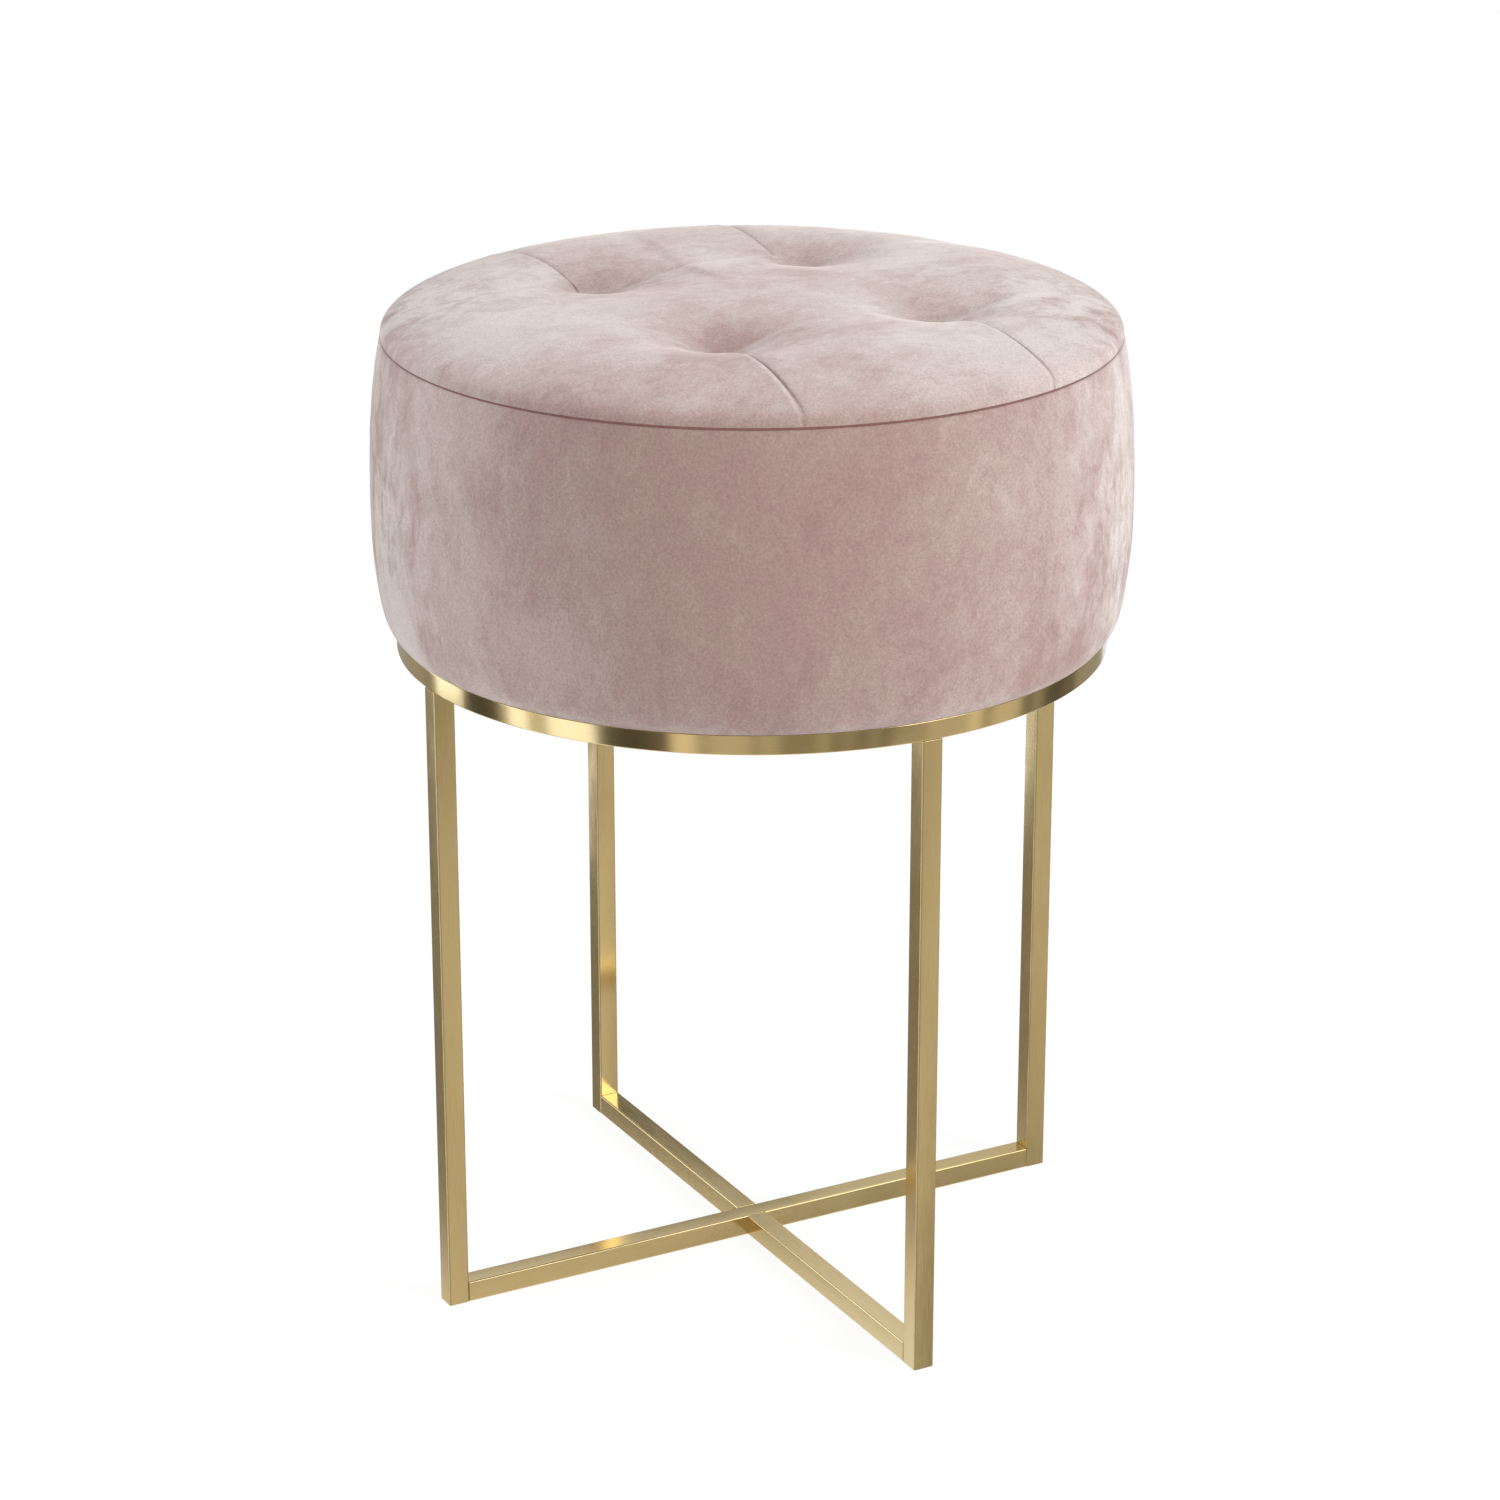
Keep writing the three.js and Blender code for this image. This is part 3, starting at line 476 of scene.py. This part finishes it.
# Grid of the seat top, in millimetres: a patch between the four pleat ends, and spokes from its edge to
# the rim seam, so that each pleat lies on a spoke.
def seatTopGrid(s):
    places = {"x": packedPlaces(s["columns"], s["packing"]), "y": packedPlaces(s["rows"], s["packing"])}
    columns, rows = s["columns"] + 1, s["rows"] + 1
    pleats = {-1: s["frontPleats"], 1: s["backPleats"]}
    starts = {half: [start for start, end in pair] for half, pair in pleats.items()}
    ends = {half: [end for start, end in pair] for half, pair in pleats.items()}

    def patchPoint(u, v):
        back, right = (1 + v) / 2, (1 + u) / 2
        leftEnd = starts[-1][0] + (starts[1][0] - starts[-1][0]) * back
        rightEnd = starts[-1][1] + (starts[1][1] - starts[-1][1]) * back
        return leftEnd + (rightEnd - leftEnd) * right, v * s["tuftY"]

    # rim angles of the four pleats: front right, back right, back left, front left
    angles = [-math.acos(ends[-1][1] / s["seamRadius"]), math.acos(ends[1][1] / s["seamRadius"]),
              math.acos(ends[1][0] / s["seamRadius"]), 2 * math.pi - math.acos(ends[-1][0] / s["seamRadius"])]

    def rimAngle(u, v):
        if abs(v) == 1:
            first, last = (angles[2], angles[1]) if v == 1 else (angles[3] - 2 * math.pi, angles[0])
            return first + (last - first) * (1 + u) / 2
        first, last = (angles[0], angles[1]) if u == 1 else (angles[3], angles[2])
        return first + (last - first) * (1 + v) / 2

    points = [patchPoint(u, v) for v in places["y"] for u in places["x"]]
    faces = [(r * columns + c, r * columns + c + 1, (r + 1) * columns + c + 1, (r + 1) * columns + c)
             for r in range(rows - 1) for c in range(columns - 1)]
    edge = ([(0, c) for c in range(columns - 1)] + [(r, columns - 1) for r in range(rows - 1)]
            + [(rows - 1, c) for c in range(columns - 1, 0, -1)] + [(r, 0) for r in range(rows - 1, 0, -1)])
    rim = []
    for r, c in edge:
        angle = rimAngle(places["x"][c], places["y"][r])
        rim.append((s["seamRadius"] * math.cos(angle), s["seamRadius"] * math.sin(angle)))
    shares = 1 - (1 - np.linspace(0, 1, s["loops"] + 1)[1:]) ** s["loopPacking"]
    previous = [r * columns + c for r, c in edge]
    inner = [points[i] for i in previous]
    for share in shares:
        start = len(points)
        points += [(a + (c - a) * share, b + (d - b) * share) for (a, b), (c, d) in zip(inner, rim)]
        current = list(range(start, len(points)))
        faces += bridge(previous, current)
        previous = current
    return np.array(points), faces, previous


def makeSeatTop(s):
    flat, faces, rimLoop = seatTopGrid(s)
    heights = seatHeight(flat[:, 0], flat[:, 1])
    points = [Vector((x, y, z)) * mm for (x, y), z in zip(flat, heights)]
    for i in rimLoop:
        points[i].z = s["edgeHeight"] * mm
    # the edge turns in under itself at the rim seam
    previous = rimLoop
    for inset, drop in s["edgeTurn"]:
        start = len(points)
        for i in rimLoop:
            outward = Vector((flat[i][0], flat[i][1], 0)).normalized()
            turned = outward * (s["seamRadius"] - inset) + Vector((0, 0, s["edgeHeight"] - drop))
            points.append(turned * mm)
        current = list(range(start, len(points)))
        faces += bridge(previous, current)
        previous = current
    top = addMesh("velvet_top", points, faces, paintedLitTopVelvet)
    place = np.array([tuple(p) for p in points]) / mm
    addMarks(top, pileLayWithPaintedLight(place[:, 0], place[:, 1]))
    thicken(top, s["thickness"])
    smooth = top.modifiers.new("smooth", "SUBSURF")
    smooth.levels = smooth.render_levels = 1
    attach(top, "root")
    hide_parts("top_cover")


# a smooth run of points through a few measured ones
def smoothRun(points, steps):
    run = []
    padded = [points[0], *points, points[-1]]
    for i in range(1, len(padded) - 2):
        a, b, c, d = (np.array(padded[i + k], float) for k in (-1, 0, 1, 2))
        for step in range(steps):
            t = step / steps
            run.append(tuple(0.5 * (2 * b + (c - a) * t + (2 * a - 5 * b + 4 * c - d) * t ** 2
                                    + (3 * b - a - 3 * c + d) * t ** 3)))
    return run + [tuple(points[-1])]


# a closed profile of (radius, height) pairs turned round the stool's axis, with its grain laid round it
def turnedPiece(name, profile, segments, material, ripple=None):
    count = len(profile)
    points, faces = [], []
    for step in range(segments):
        angle = 2 * math.pi * step / segments
        for radius, height in profile:
            radius += ripple(angle, radius, height) if ripple else 0
            points.append(Vector((radius * math.cos(angle), radius * math.sin(angle), height)) * mm)
    loops = [list(range(start, start + count)) for start in range(0, len(points), count)]
    for loop, following in zip(loops, loops[1:] + loops[:1]):
        faces += bridge(loop, following)
    piece = addMesh(name, points, faces, material)
    layer = piece.data.uv_layers.new(name="grain")
    across = [0.0]
    for (r0, z0), (r1, z1) in zip(profile, [*profile[1:], profile[0]]):
        across.append(across[-1] + math.hypot(r1 - r0, z1 - z0) * mm)
    reach = max(radius for radius, height in profile) * mm
    for face in range(len(faces)):
        step, i = divmod(face, count)
        for corner, (dStep, dAcross) in enumerate([(0, 0), (1, 0), (1, 1), (0, 1)]):
            u = 2 * math.pi * reach * (step + dStep) / segments
            layer.data[face * 4 + corner].uv = (u, across[i + dAcross])
    return piece


band = {
    # measured up the side, radius and height
    "outline": [(163.2, 311.2), (165.6, 314.3), (167.3, 318.4), (168.6, 323.8), (169.4, 329.2),
                (170.4, 337.3), (171.4, 348), (171.9, 358.8), (172.1, 371), (171.95, 384.4),
                (171.6, 393.9), (171.1, 404.7), (169.95, 418.1), (168.9, 426.2), (167.75, 434.3),
                (166.8, 439.7), (166.1, 443.4)],
    "hem": [(143.2, 311.3), (143.2, 310), (160.5, 310), (162.2, 310.15)],
    "seamEdge": [(165.7, 444.2), (165.0, 444.75), (163.6, 444.85)],
    "thickness": 1.5, "segments": 240, "steps": 3,
    # foam under the cloth leaves it very slightly uneven between its foot and its top
    "foot": 312, "top": 444, "fade": 20, "unevenness": 0.35, "waves": 3, "waveHeight": 45,
    # patches as on the top, which also paint sheen and shade: degrees as seen from above, height, reach, how
    # much
    "patches": [(184, 375, 34, 0.45), (196, 360, 26, 0.3), (-73, 372, 20, -0.25), (-120, 334, 20, -0.4),
                (-48, 385, 24, 0.3), (190, 430, 20, 0.55), (176, 322, 18, 0.9), (-71, 336, 24, -0.55),
                (-147, 344, 26, 0.65), (-46, 426, 16, 0.5), (-165, 400, 18, 0.3),
                (-30, 432, 26, 0.6), (-160, 432, 18, 0.45), (-62, 326, 18, -0.35)],
    # where the pile's marks, and the sheen painted with them, are drawn stronger, at both sides of the band
    "mottled": [(168, 375, 48, 1.5), (-42, 372, 50, 1.5)],
}


def makeBand(b):
    outside = smoothRun([*b["hem"][2:], *b["outline"]], b["steps"])
    outside = [*b["hem"][:2], *outside, *b["seamEdge"]]
    lining = reversed(smoothRun(b["outline"], b["steps"]))
    inside = [(radius - b["thickness"], height) for radius, height in lining]
    profile = outside + inside[1:]

    def ripple(angle, radius, height):
        fade = min(1, max(0, (height - b["foot"]) / b["fade"]), max(0, (b["top"] - height) / b["fade"]))
        x, y = b["waves"] * math.cos(angle), b["waves"] * math.sin(angle)
        return b["unevenness"] * fade * noise.noise(Vector((x, y, height / b["waveHeight"])))

    side = turnedPiece("velvet_band", profile, b["segments"], velvet, ripple)
    place = np.array([tuple(v.co) for v in side.data.vertices]) / mm
    turn = np.degrees(np.arctan2(place[:, 1], place[:, 0]))
    belly = max(radius for radius, height in b["outline"])
    marks = {"patches": 0, "mottled": 0}
    for kind in marks:
        for angle, height, reach, share in b[kind]:
            across = np.radians((turn - angle + 180) % 360 - 180) * belly
            above = place[:, 2] - height
            marks[kind] = marks[kind] + share * np.exp(-(across ** 2 + above ** 2) / reach ** 2)
    addMarks(side, {"brushed": marks["patches"], "mottled": marks["mottled"]})
    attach(side, "root")
    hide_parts("side_cover")


# the padding under the velvet, and the thread that closes the rim seam, whose dark colour is painted shade of
# the seam
padding = {
    "gap": 2.0, "footRadius": 159.4, "foot": 312.0, "wallRadius": 154.0, "wallFoot": 324.4, "wallTop": 420.6,
    "board": 421.2, "rimHeight": 443.6, "segments": 160, "steps": 2,
    # loops of the foam's crown as shares of its radius, close together at the rim, and then evenly inward
    "rimShares": (1, 0.99, 0.97, 0.94, 0.9, 0.85, 0.8), "innerShares": (0.75, 0.03, 34), "middle": 0.02,
    "near": 4,  # the foam stays under the lowest place of the cover within this reach
    "threadRadius": 0.72, "threadReach": 165.3, "threadHeight": 444.9,
    "threadSides": 8, "threadSegments": 240,
    # away from this direction the seam closes tighter and its thread lies deeper, so less of its painted
    # shade shows
    "threadFront": -104, "threadSink": 0.34, "threadFrontHalf": 28, "threadTurn": 32,
}


# how far in the thread lies on each side
def threadDepth(angle, radius, height):
    away = abs((math.degrees(angle) - padding["threadFront"] + 180) % 360 - 180)
    share = min(1, max(0, (away - padding["threadFrontHalf"]) / padding["threadTurn"]))
    return -padding["threadSink"] * share * share * (3 - 2 * share)


def makePadding(p):
    outline = [(radius - p["gap"], height) for radius, height in smoothRun(band["outline"], p["steps"])]
    low = [point for point in outline if p["foot"] < point[1] < p["wallTop"]]
    profile = [(p["footRadius"], p["foot"]), *low, (low[-1][0], p["wallTop"]),
               (p["wallRadius"], p["wallTop"]), (p["wallRadius"], p["wallFoot"]),
               (p["footRadius"], p["wallFoot"])]
    side = turnedPiece("foam_side", profile, p["segments"], matter["openCellFoam"])
    high = [point for point in outline if p["board"] < point[1] < p["rimHeight"]]
    rings = [(p["middle"], p["board"]), (high[0][0], p["board"]), *high]
    for share in (*p["rimShares"], *np.linspace(*p["innerShares"])):
        rings.append((share * (seat["seamRadius"] - p["gap"]), None))
    points = []
    grown = seat["seamRadius"] / (seat["seamRadius"] - p["gap"])
    around = [(0, 0), (p["near"], 0), (-p["near"], 0), (0, p["near"]), (0, -p["near"])]
    for radius, height in rings:
        for step in range(p["segments"]):
            x, y = (radius * f(2 * math.pi * step / p["segments"]) for f in (math.cos, math.sin))
            z = height
            if z is None:
                cover = seatHeight(*np.array([(x * grown + a, y * grown + b) for a, b in around]).T)
                z = float(min(cover)) - p["gap"]
            points.append(Vector((x, y, z)) * mm)
    crown = addMesh("foam_top", points, stackedFaces(points, p["segments"]), matter["openCellFoam"])
    for piece, node in ((side, "side_foam"), (crown, "top_foam")):
        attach(piece, "root")
        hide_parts(node)
    turns = [2 * math.pi * i / p["threadSides"] for i in range(p["threadSides"])]
    circle = [(p["threadReach"] + p["threadRadius"] * math.cos(turn),
               p["threadHeight"] + p["threadRadius"] * math.sin(turn)) for turn in turns]
    thread = turnedPiece("seam_shade_thread", circle, p["threadSegments"], matter["seamShadeThread"], threadDepth)
    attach(thread, "root")


# the cloth that closes the underside sags a little between the ring and its middle
dust = {
    "radius": 154.5, "height": 309.55, "sag": 0.2, "thickness": 0.45, "rings": 26, "segments": 96,
    "unevenness": 0.06, "unevenSize": 18,
}


def makeDustCover(d):
    points, faces = [(0, 0, (d["height"] - d["sag"]) * mm)], []
    for ring in range(1, d["rings"] + 1):
        radius = d["radius"] * ring / d["rings"]
        for step in range(d["segments"]):
            angle = 2 * math.pi * step / d["segments"]
            x, y = radius * math.cos(angle), radius * math.sin(angle)
            sag = d["sag"] * (1 - (radius / d["radius"]) ** 2)
            bulge = noise.noise(Vector((x, y, 0)) / d["unevenSize"])
            sag += d["unevenness"] * bulge * (1 - radius / d["radius"])
            points.append((x * mm, y * mm, (d["height"] - sag) * mm))
    for step in range(d["segments"]):
        faces.append((0, 1 + step, 1 + (step + 1) % d["segments"]))
        for ring in range(d["rings"] - 1):
            a, b = 1 + ring * d["segments"], 1 + (ring + 1) * d["segments"]
            following = (step + 1) % d["segments"]
            faces.append((a + step, b + step, b + following, a + following))
    cloth = addMesh("cambric_cover", points, faces, matter["blackCambric"])
    thicken(cloth, d["thickness"])
    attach(cloth, "root")
    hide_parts("dust_cover")


makeSeatTop(seat)
makeBand(band)
makePadding(padding)
makeDustCover(dust)
print("seat cover and padding made")


# frame

tube = {
    "side": 10, "wall": 1.2, "corner": 0.75, "cornerSteps": 4, "endChamfer": 0.3, "boreDepth": 30,
    "boreCorner": 0.2, "mouthChamfer": 0.15, "mouthCorner": 0.3,
}
# the tubes' middle lines; the halves of the cross bar end at the side of the long one
tubeLines = {"legReach": 157, "legTop": 301, "barReach": 152, "barHeight": 5, "crossing": 5}
ring = {
    "outer": 162, "inner": 156, "bottom": 301, "top": 310, "corner": 0.6, "cornerSteps": 3, "segments": 288,
}


# a rounded square of points, half being half its side
def roundedSquare(half, corner, steps):
    points = []
    for quarter in range(4):
        middle = math.pi / 2 * quarter + math.pi / 4
        cx = (half - corner) * (1 if quarter in (0, 3) else -1)
        cy = (half - corner) * (1 if quarter in (0, 1) else -1)
        for step in range(steps + 1):
            angle = middle - math.pi / 4 + math.pi / 2 * step / steps
            points.append((cx + corner * math.cos(angle), cy + corner * math.sin(angle)))
    return points


# a square tube from start to end, open at its first end
def tubePiece(name, start, end, upright):
    t = tube
    start, end = Vector(start), Vector(end)
    length = (end - start).length
    forward = (end - start).normalized()
    side = Vector((1, 0, 0)) if upright else forward.cross(Vector((0, 0, 1)))
    up = forward.cross(side)
    half = t["side"] / 2
    bore = half - t["wall"]
    # half a side, corner radius and place along the tube, from inside its open end to its far end
    stations = [(bore, t["boreCorner"], t["boreDepth"]), (bore, t["boreCorner"], t["endChamfer"]),
                (bore + t["mouthChamfer"], t["mouthCorner"], 0),
                (half - t["endChamfer"], t["corner"], 0), (half, t["corner"], t["endChamfer"]),
                (half, t["corner"], length - t["endChamfer"]), (half - t["endChamfer"], t["corner"], length)]
    points = []
    around = 4 * (t["cornerSteps"] + 1)
    for halfSide, corner, place in stations:
        for a, b in roundedSquare(halfSide, corner, t["cornerSteps"]):
            points.append((start + forward * place + side * a + up * b) * mm)
    piece = addMesh(name, points, stackedFaces(points, around), brass)
    layer = piece.data.uv_layers.new(name="grain")
    for loop in piece.data.loops:
        row, i = divmod(loop.vertex_index, around)
        layer.data[loop.index].uv = (stations[row][2] * mm, i / around * 4 * t["side"] * mm)
    piece.modifiers.new("flat faces, round corners", "WEIGHTED_NORMAL")
    return piece


def makeFrame(lines):
    reach, top = lines["legReach"], lines["legTop"]
    end, height, middle = lines["barReach"], lines["barHeight"], lines["crossing"]
    tubes = {
        "leg_right": ((reach, 0, 0), (reach, 0, top)), "leg_left": ((-reach, 0, 0), (-reach, 0, top)),
        "leg_back": ((0, reach, 0), (0, reach, top)), "leg_front": ((0, -reach, 0), (0, -reach, top)),
        "base_bar_long": ((-end, 0, height), (end, 0, height)),
        "base_bar_front": ((0, -end, height), (0, -middle, height)),
        "base_bar_back": ((0, end, height), (0, middle, height)),
    }
    for node, (start, end) in tubes.items():
        piece = tubePiece("brass_" + node, start, end, node.startswith("leg"))
        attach(piece, "root")
        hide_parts(node)
    corners = []
    bend, steps = ring["corner"], ring["cornerSteps"]
    for radius, height, first in [(ring["outer"], ring["bottom"], -90), (ring["outer"], ring["top"], 0),
                                  (ring["inner"], ring["top"], 90), (ring["inner"], ring["bottom"], 180)]:
        inward, upward = (-1 if radius == ring["outer"] else 1), (1 if height == ring["bottom"] else -1)
        for step in range(steps + 1):
            angle = math.radians(first + 90 / steps * step)
            corners.append((radius + bend * (inward + math.cos(angle)),
                            height + bend * (upward + math.sin(angle))))
    piece = turnedPiece("brass_seat_ring", corners, ring["segments"], brass)
    piece.modifiers.new("flat faces, round corners", "WEIGHTED_NORMAL")
    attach(piece, "root")
    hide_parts("seat_ring")


makeFrame(tubeLines)
print("brass frame made")


# the other pieces keep their CAD shape and get the finish of the real ones

finishes = {
    "brassPlate": ["seat_tab"],
    "zincPlate": ["seat_bolt", "seat_washer", "tee_nut", "lower_screw", "upper_screw"],
    "mouldedPolyethylene": ["leg_plug", "tuft_anchor"],
    "birchPlywood": ["base_board", "top_board"],
    "planedPine": ["seat_post"],
    "pressedHardboard": ["drum_wall"],
    "waxedTwine": ["tuft_tie"],
}
for name, node in cadNodes.items():
    for finish, starts in finishes.items():
        if name.startswith(tuple(starts)):
            node.data.materials.clear()
            node.data.materials.append(matter[finish])
print("finishes given to the CAD nodes")


# studio

studio = {
    "fill": 0.335, "floor": "#e9e6e3", "floorSize": 1900,
    "floorGlow": 0.9, "floorGrey": (0.16, 0.16, 0.16, 1),
    "lamps": {
        # place, aim, size and power in watts
        "keyRight": ((900, -1560, 900), (0, 0, 380), 1000, 28),
        "softLeft": ((-1800, 0, 900), (0, 0, 380), 1000, 13.5),
        "overhead": ((0, 0, 2200), (0, 0, 380), 1000, 11),
    },
    # A grey tent with cards hung in it, seen only by the metal. Each card: from and to in degrees as seen
    # from above, its lowest and highest edge, and how bright it is.
    "tent": {"radius": 3000, "bottom": -2200, "top": 2600, "bright": 0.4},
    # bent in steps of so many degrees, a little inside the tent, cool where bright and warm where dim
    "cardStep": 5, "cardShare": 0.99, "cool": "#dfe6f6", "warm": "#fdf9f2", "coolFrom": 1,
    "cards": [
        # behind on the left, down to the glow of the floor that the feet reflect
        (100, 118.5, -1400, -800, 0.25), (118.5, 124, -1430, -800, 0.29), (96, 118.5, -1460, -1400, 0.62),
        (96, 118.5, -2200, -1460, 1.0), (118.5, 136, -1500, -1430, 0.56), (118.5, 136, -1570, -1500, 0.95),
        (118.5, 136, -2200, -1570, 1.4), (114.5, 119.5, -800, 2600, 0.24), (124, 139, -1430, -800, 0.24),
        (122.5, 138.4, -755, 2600, 2.6),
        # left
        (138.4, 155.5, -2200, 2600, 0.08), (155.5, 159.5, -2200, 2600, 0.47),
        (159.5, 167.3, -2200, 2600, 2.3), (167.5, 174.5, -2200, 2600, 0.66), (175, 192.3, -2200, 2600, 2.1),
        (192.3, 208, -2200, 2600, 0.08), (208, 216, -2200, 2600, 0.12), (216.5, 224.3, -2200, 2600, 1.0),
        (224.3, 228.5, -2200, 2600, 0.44), (228.5, 241, -2200, 2600, 0.64), (244.5, 249.5, -2200, 2600, 0.58),
        (250, 261.5, -2200, 2600, 0.32), (261.5, 265.5, -2200, 2600, 0.52),
        (265.5, 269.5, -2200, 2600, 0.26), (273.5, 277.5, -2200, 2600, 0.22), (281.5, 286, -2200, 2600, 0.19),
        # front on the right, brightest at the height that the legs reflect
        (288, 293, -850, 700, 0.38), (284, 294, -1250, -850, 0.7), (284, 294, -1500, -1250, 0.56),
        (284, 296, -2200, -1500, 0.85), (293, 297, -850, 700, 0.45), (297, 302, -850, 700, 0.6),
        (294, 298.3, -1040, -850, 0.45), (294, 298.3, -1500, -1040, 1.0), (298.7, 302, -1000, -850, 0.92),
        (298.7, 302, -1170, -1000, 0.6), (298.7, 302, -1300, -1170, 0.35), (298.7, 302, -2200, -1300, 0.22),
        (302, 313, -1350, 1300, 0.62), (302, 313, -2200, -1350, 0.36), (313, 317.3, -2200, 1300, 0.98),
        # above it, which the base bars show on their edges, and by way of the back leg
        (288, 302, 700, 1700, 4.2), (288, 302, 1700, 2600, 4.2), (302, 317.3, 1300, 2600, 4.2),
        # right
        (322, 334.5, -2200, 2600, 0.74), (335, 340.5, -2200, 2600, 0.22), (346, 357, -2200, 2600, 0.12),
        (357, 366, -2200, 2600, 0.18), (30, 35, 500, 1000, 0.7), (35, 54, -2200, 1000, 1.3),
        # behind, high up, which the tops of the base bars reflect
        (40, 60.3, 1000, 1600, 0.66), (40, 78, 1600, 2600, 1.4), (60.3, 78, 900, 1445, 0.1),
        (60.3, 78, 1445, 1600, 0.68),
    ],
    # glow of the floor that the right and the back leg show under the ring: middle, half sizes, brightness,
    # and then the direction they all lie in and how far under the floor they are
    "gleams": [(-150, 576, 30, 95, 3.4), (-80, 455, 30, 45, 1.3), (-308, 663, 40, 70, 0.75)],
    "gleamTurn": 119.9, "gleamDrop": 4,
}


def glowing(name, bright):
    material = bpy.data.materials.new(name)
    material.cycles.emission_sampling = "NONE"
    tree = emptyTree(material)
    tint = studio["cool"] if bright > studio["coolFrom"] else studio["warm"]
    glow = addNode(tree, "Emission", {"Color": linearColour(tint), "Strength": bright})
    addNode(tree, "OutputMaterial", {}, {"Surface": glow})
    return material


def showInMetalOnly(card):
    card.visible_camera = card.visible_diffuse = card.visible_shadow = False
    card.visible_transmission = card.visible_volume_scatter = False


# a card bent round the stool, which only reflections see
def hangCard(name, radius, first, last, bottom, top, bright):
    steps = max(2, round((last - first) / studio["cardStep"]))
    points, faces = [], []
    for i in range(steps + 1):
        angle = math.radians(first + (last - first) * i / steps)
        for height in (bottom, top):
            points.append(Vector((radius * math.cos(angle), radius * math.sin(angle), height)) * mm)
    for i in range(steps):
        faces.append((2 * i, 2 * i + 2, 2 * i + 3, 2 * i + 1))
    showInMetalOnly(addMesh(name, points, faces, glowing(name, bright)))


def makeStudio(s):
    world = bpy.data.worlds.new("studio")
    tree = emptyTree(world)
    ray = addNode(tree, "LightPath")
    seen = addNode(tree, "Math", {"operation": "MAXIMUM"},
                   {0: ray.outputs["Is Camera Ray"], 1: ray.outputs["Is Glossy Ray"]})
    seen = addNode(tree, "Math", {"operation": "MAXIMUM"}, {0: seen, 1: ray.outputs["Is Transmission Ray"]})
    level = addNode(tree, "MapRange", {3: s["fill"], 4: 1.0}, {0: seen})
    sky = addNode(tree, "Background", {"Color": linearColour("#ffffff")}, {"Strength": level})
    addNode(tree, "OutputWorld", {}, {"Surface": sky})
    bpy.context.scene.world = world

    # floor: white to the camera apart from the stool's shadow, plain pale paint to all other light
    material = bpy.data.materials.new("paleFloor")
    tree = emptyTree(material)
    ray = addNode(tree, "LightPath")
    paint = addNode(tree, "BsdfDiffuse", {"Color": linearColour(s["floor"])})
    lit = addNode(tree, "Emission", {"Strength": s["floorGlow"]})
    thin = addNode(tree, "BsdfDiffuse", {"Color": s["floorGrey"]})
    white = addNode(tree, "AddShader", {}, {0: lit, 1: thin})
    shown = addNode(tree, "MixShader", {}, {0: ray.outputs["Is Camera Ray"], 1: paint, 2: white})
    # from below the floor isn't there
    side = addNode(tree, "NewGeometry")
    clear = addNode(tree, "BsdfTransparent")
    both = addNode(tree, "MixShader", {}, {0: side.outputs["Backfacing"], 1: shown, 2: clear})
    addNode(tree, "OutputMaterial", {}, {"Surface": both})
    half = s["floorSize"] * mm / 2
    floor = addMesh("floor", [(-half, -half, 0), (half, -half, 0), (half, half, 0), (-half, half, 0)],
                    [(0, 1, 2, 3)], material, smooth=False)
    floor.visible_glossy = False

    tent = s["tent"]
    hangCard("tent", tent["radius"], 0, 360, tent["bottom"], tent["top"], tent["bright"])
    for number, card in enumerate(s["cards"]):
        hangCard(f"card{number}", tent["radius"] * s["cardShare"], *card)
    turn = math.radians(s["gleamTurn"])
    ahead, aside = Vector((math.cos(turn), math.sin(turn), 0)), Vector((math.sin(turn), -math.cos(turn), 0))
    for number, (x, y, halfWidth, halfLength, bright) in enumerate(s["gleams"]):
        points = [(Vector((x, y, -s["gleamDrop"])) + aside * halfWidth * a + ahead * halfLength * b) * mm
                  for a, b in ((-1, -1), (1, -1), (1, 1), (-1, 1))]
        showInMetalOnly(addMesh(f"gleam{number}", points, [(0, 1, 2, 3)], glowing(f"gleam{number}", bright),
                                smooth=False))

    for name, (place, aim, size, power) in s["lamps"].items():
        light = bpy.data.lights.new(name, "AREA")
        light.shape = "DISK"
        light.size = size * mm
        light.energy = power
        lamp = bpy.data.objects.new(name, light)
        lamp.visible_glossy = False
        lamp.location = Vector(place) * mm
        lamp.rotation_mode = "QUATERNION"
        lamp.rotation_quaternion = (Vector(aim) - Vector(place)).to_track_quat("-Z", "Y")
        bpy.context.scene.collection.objects.link(lamp)


makeStudio(studio)
bpy.context.scene.view_settings.view_transform = "Standard"
print("studio lit")
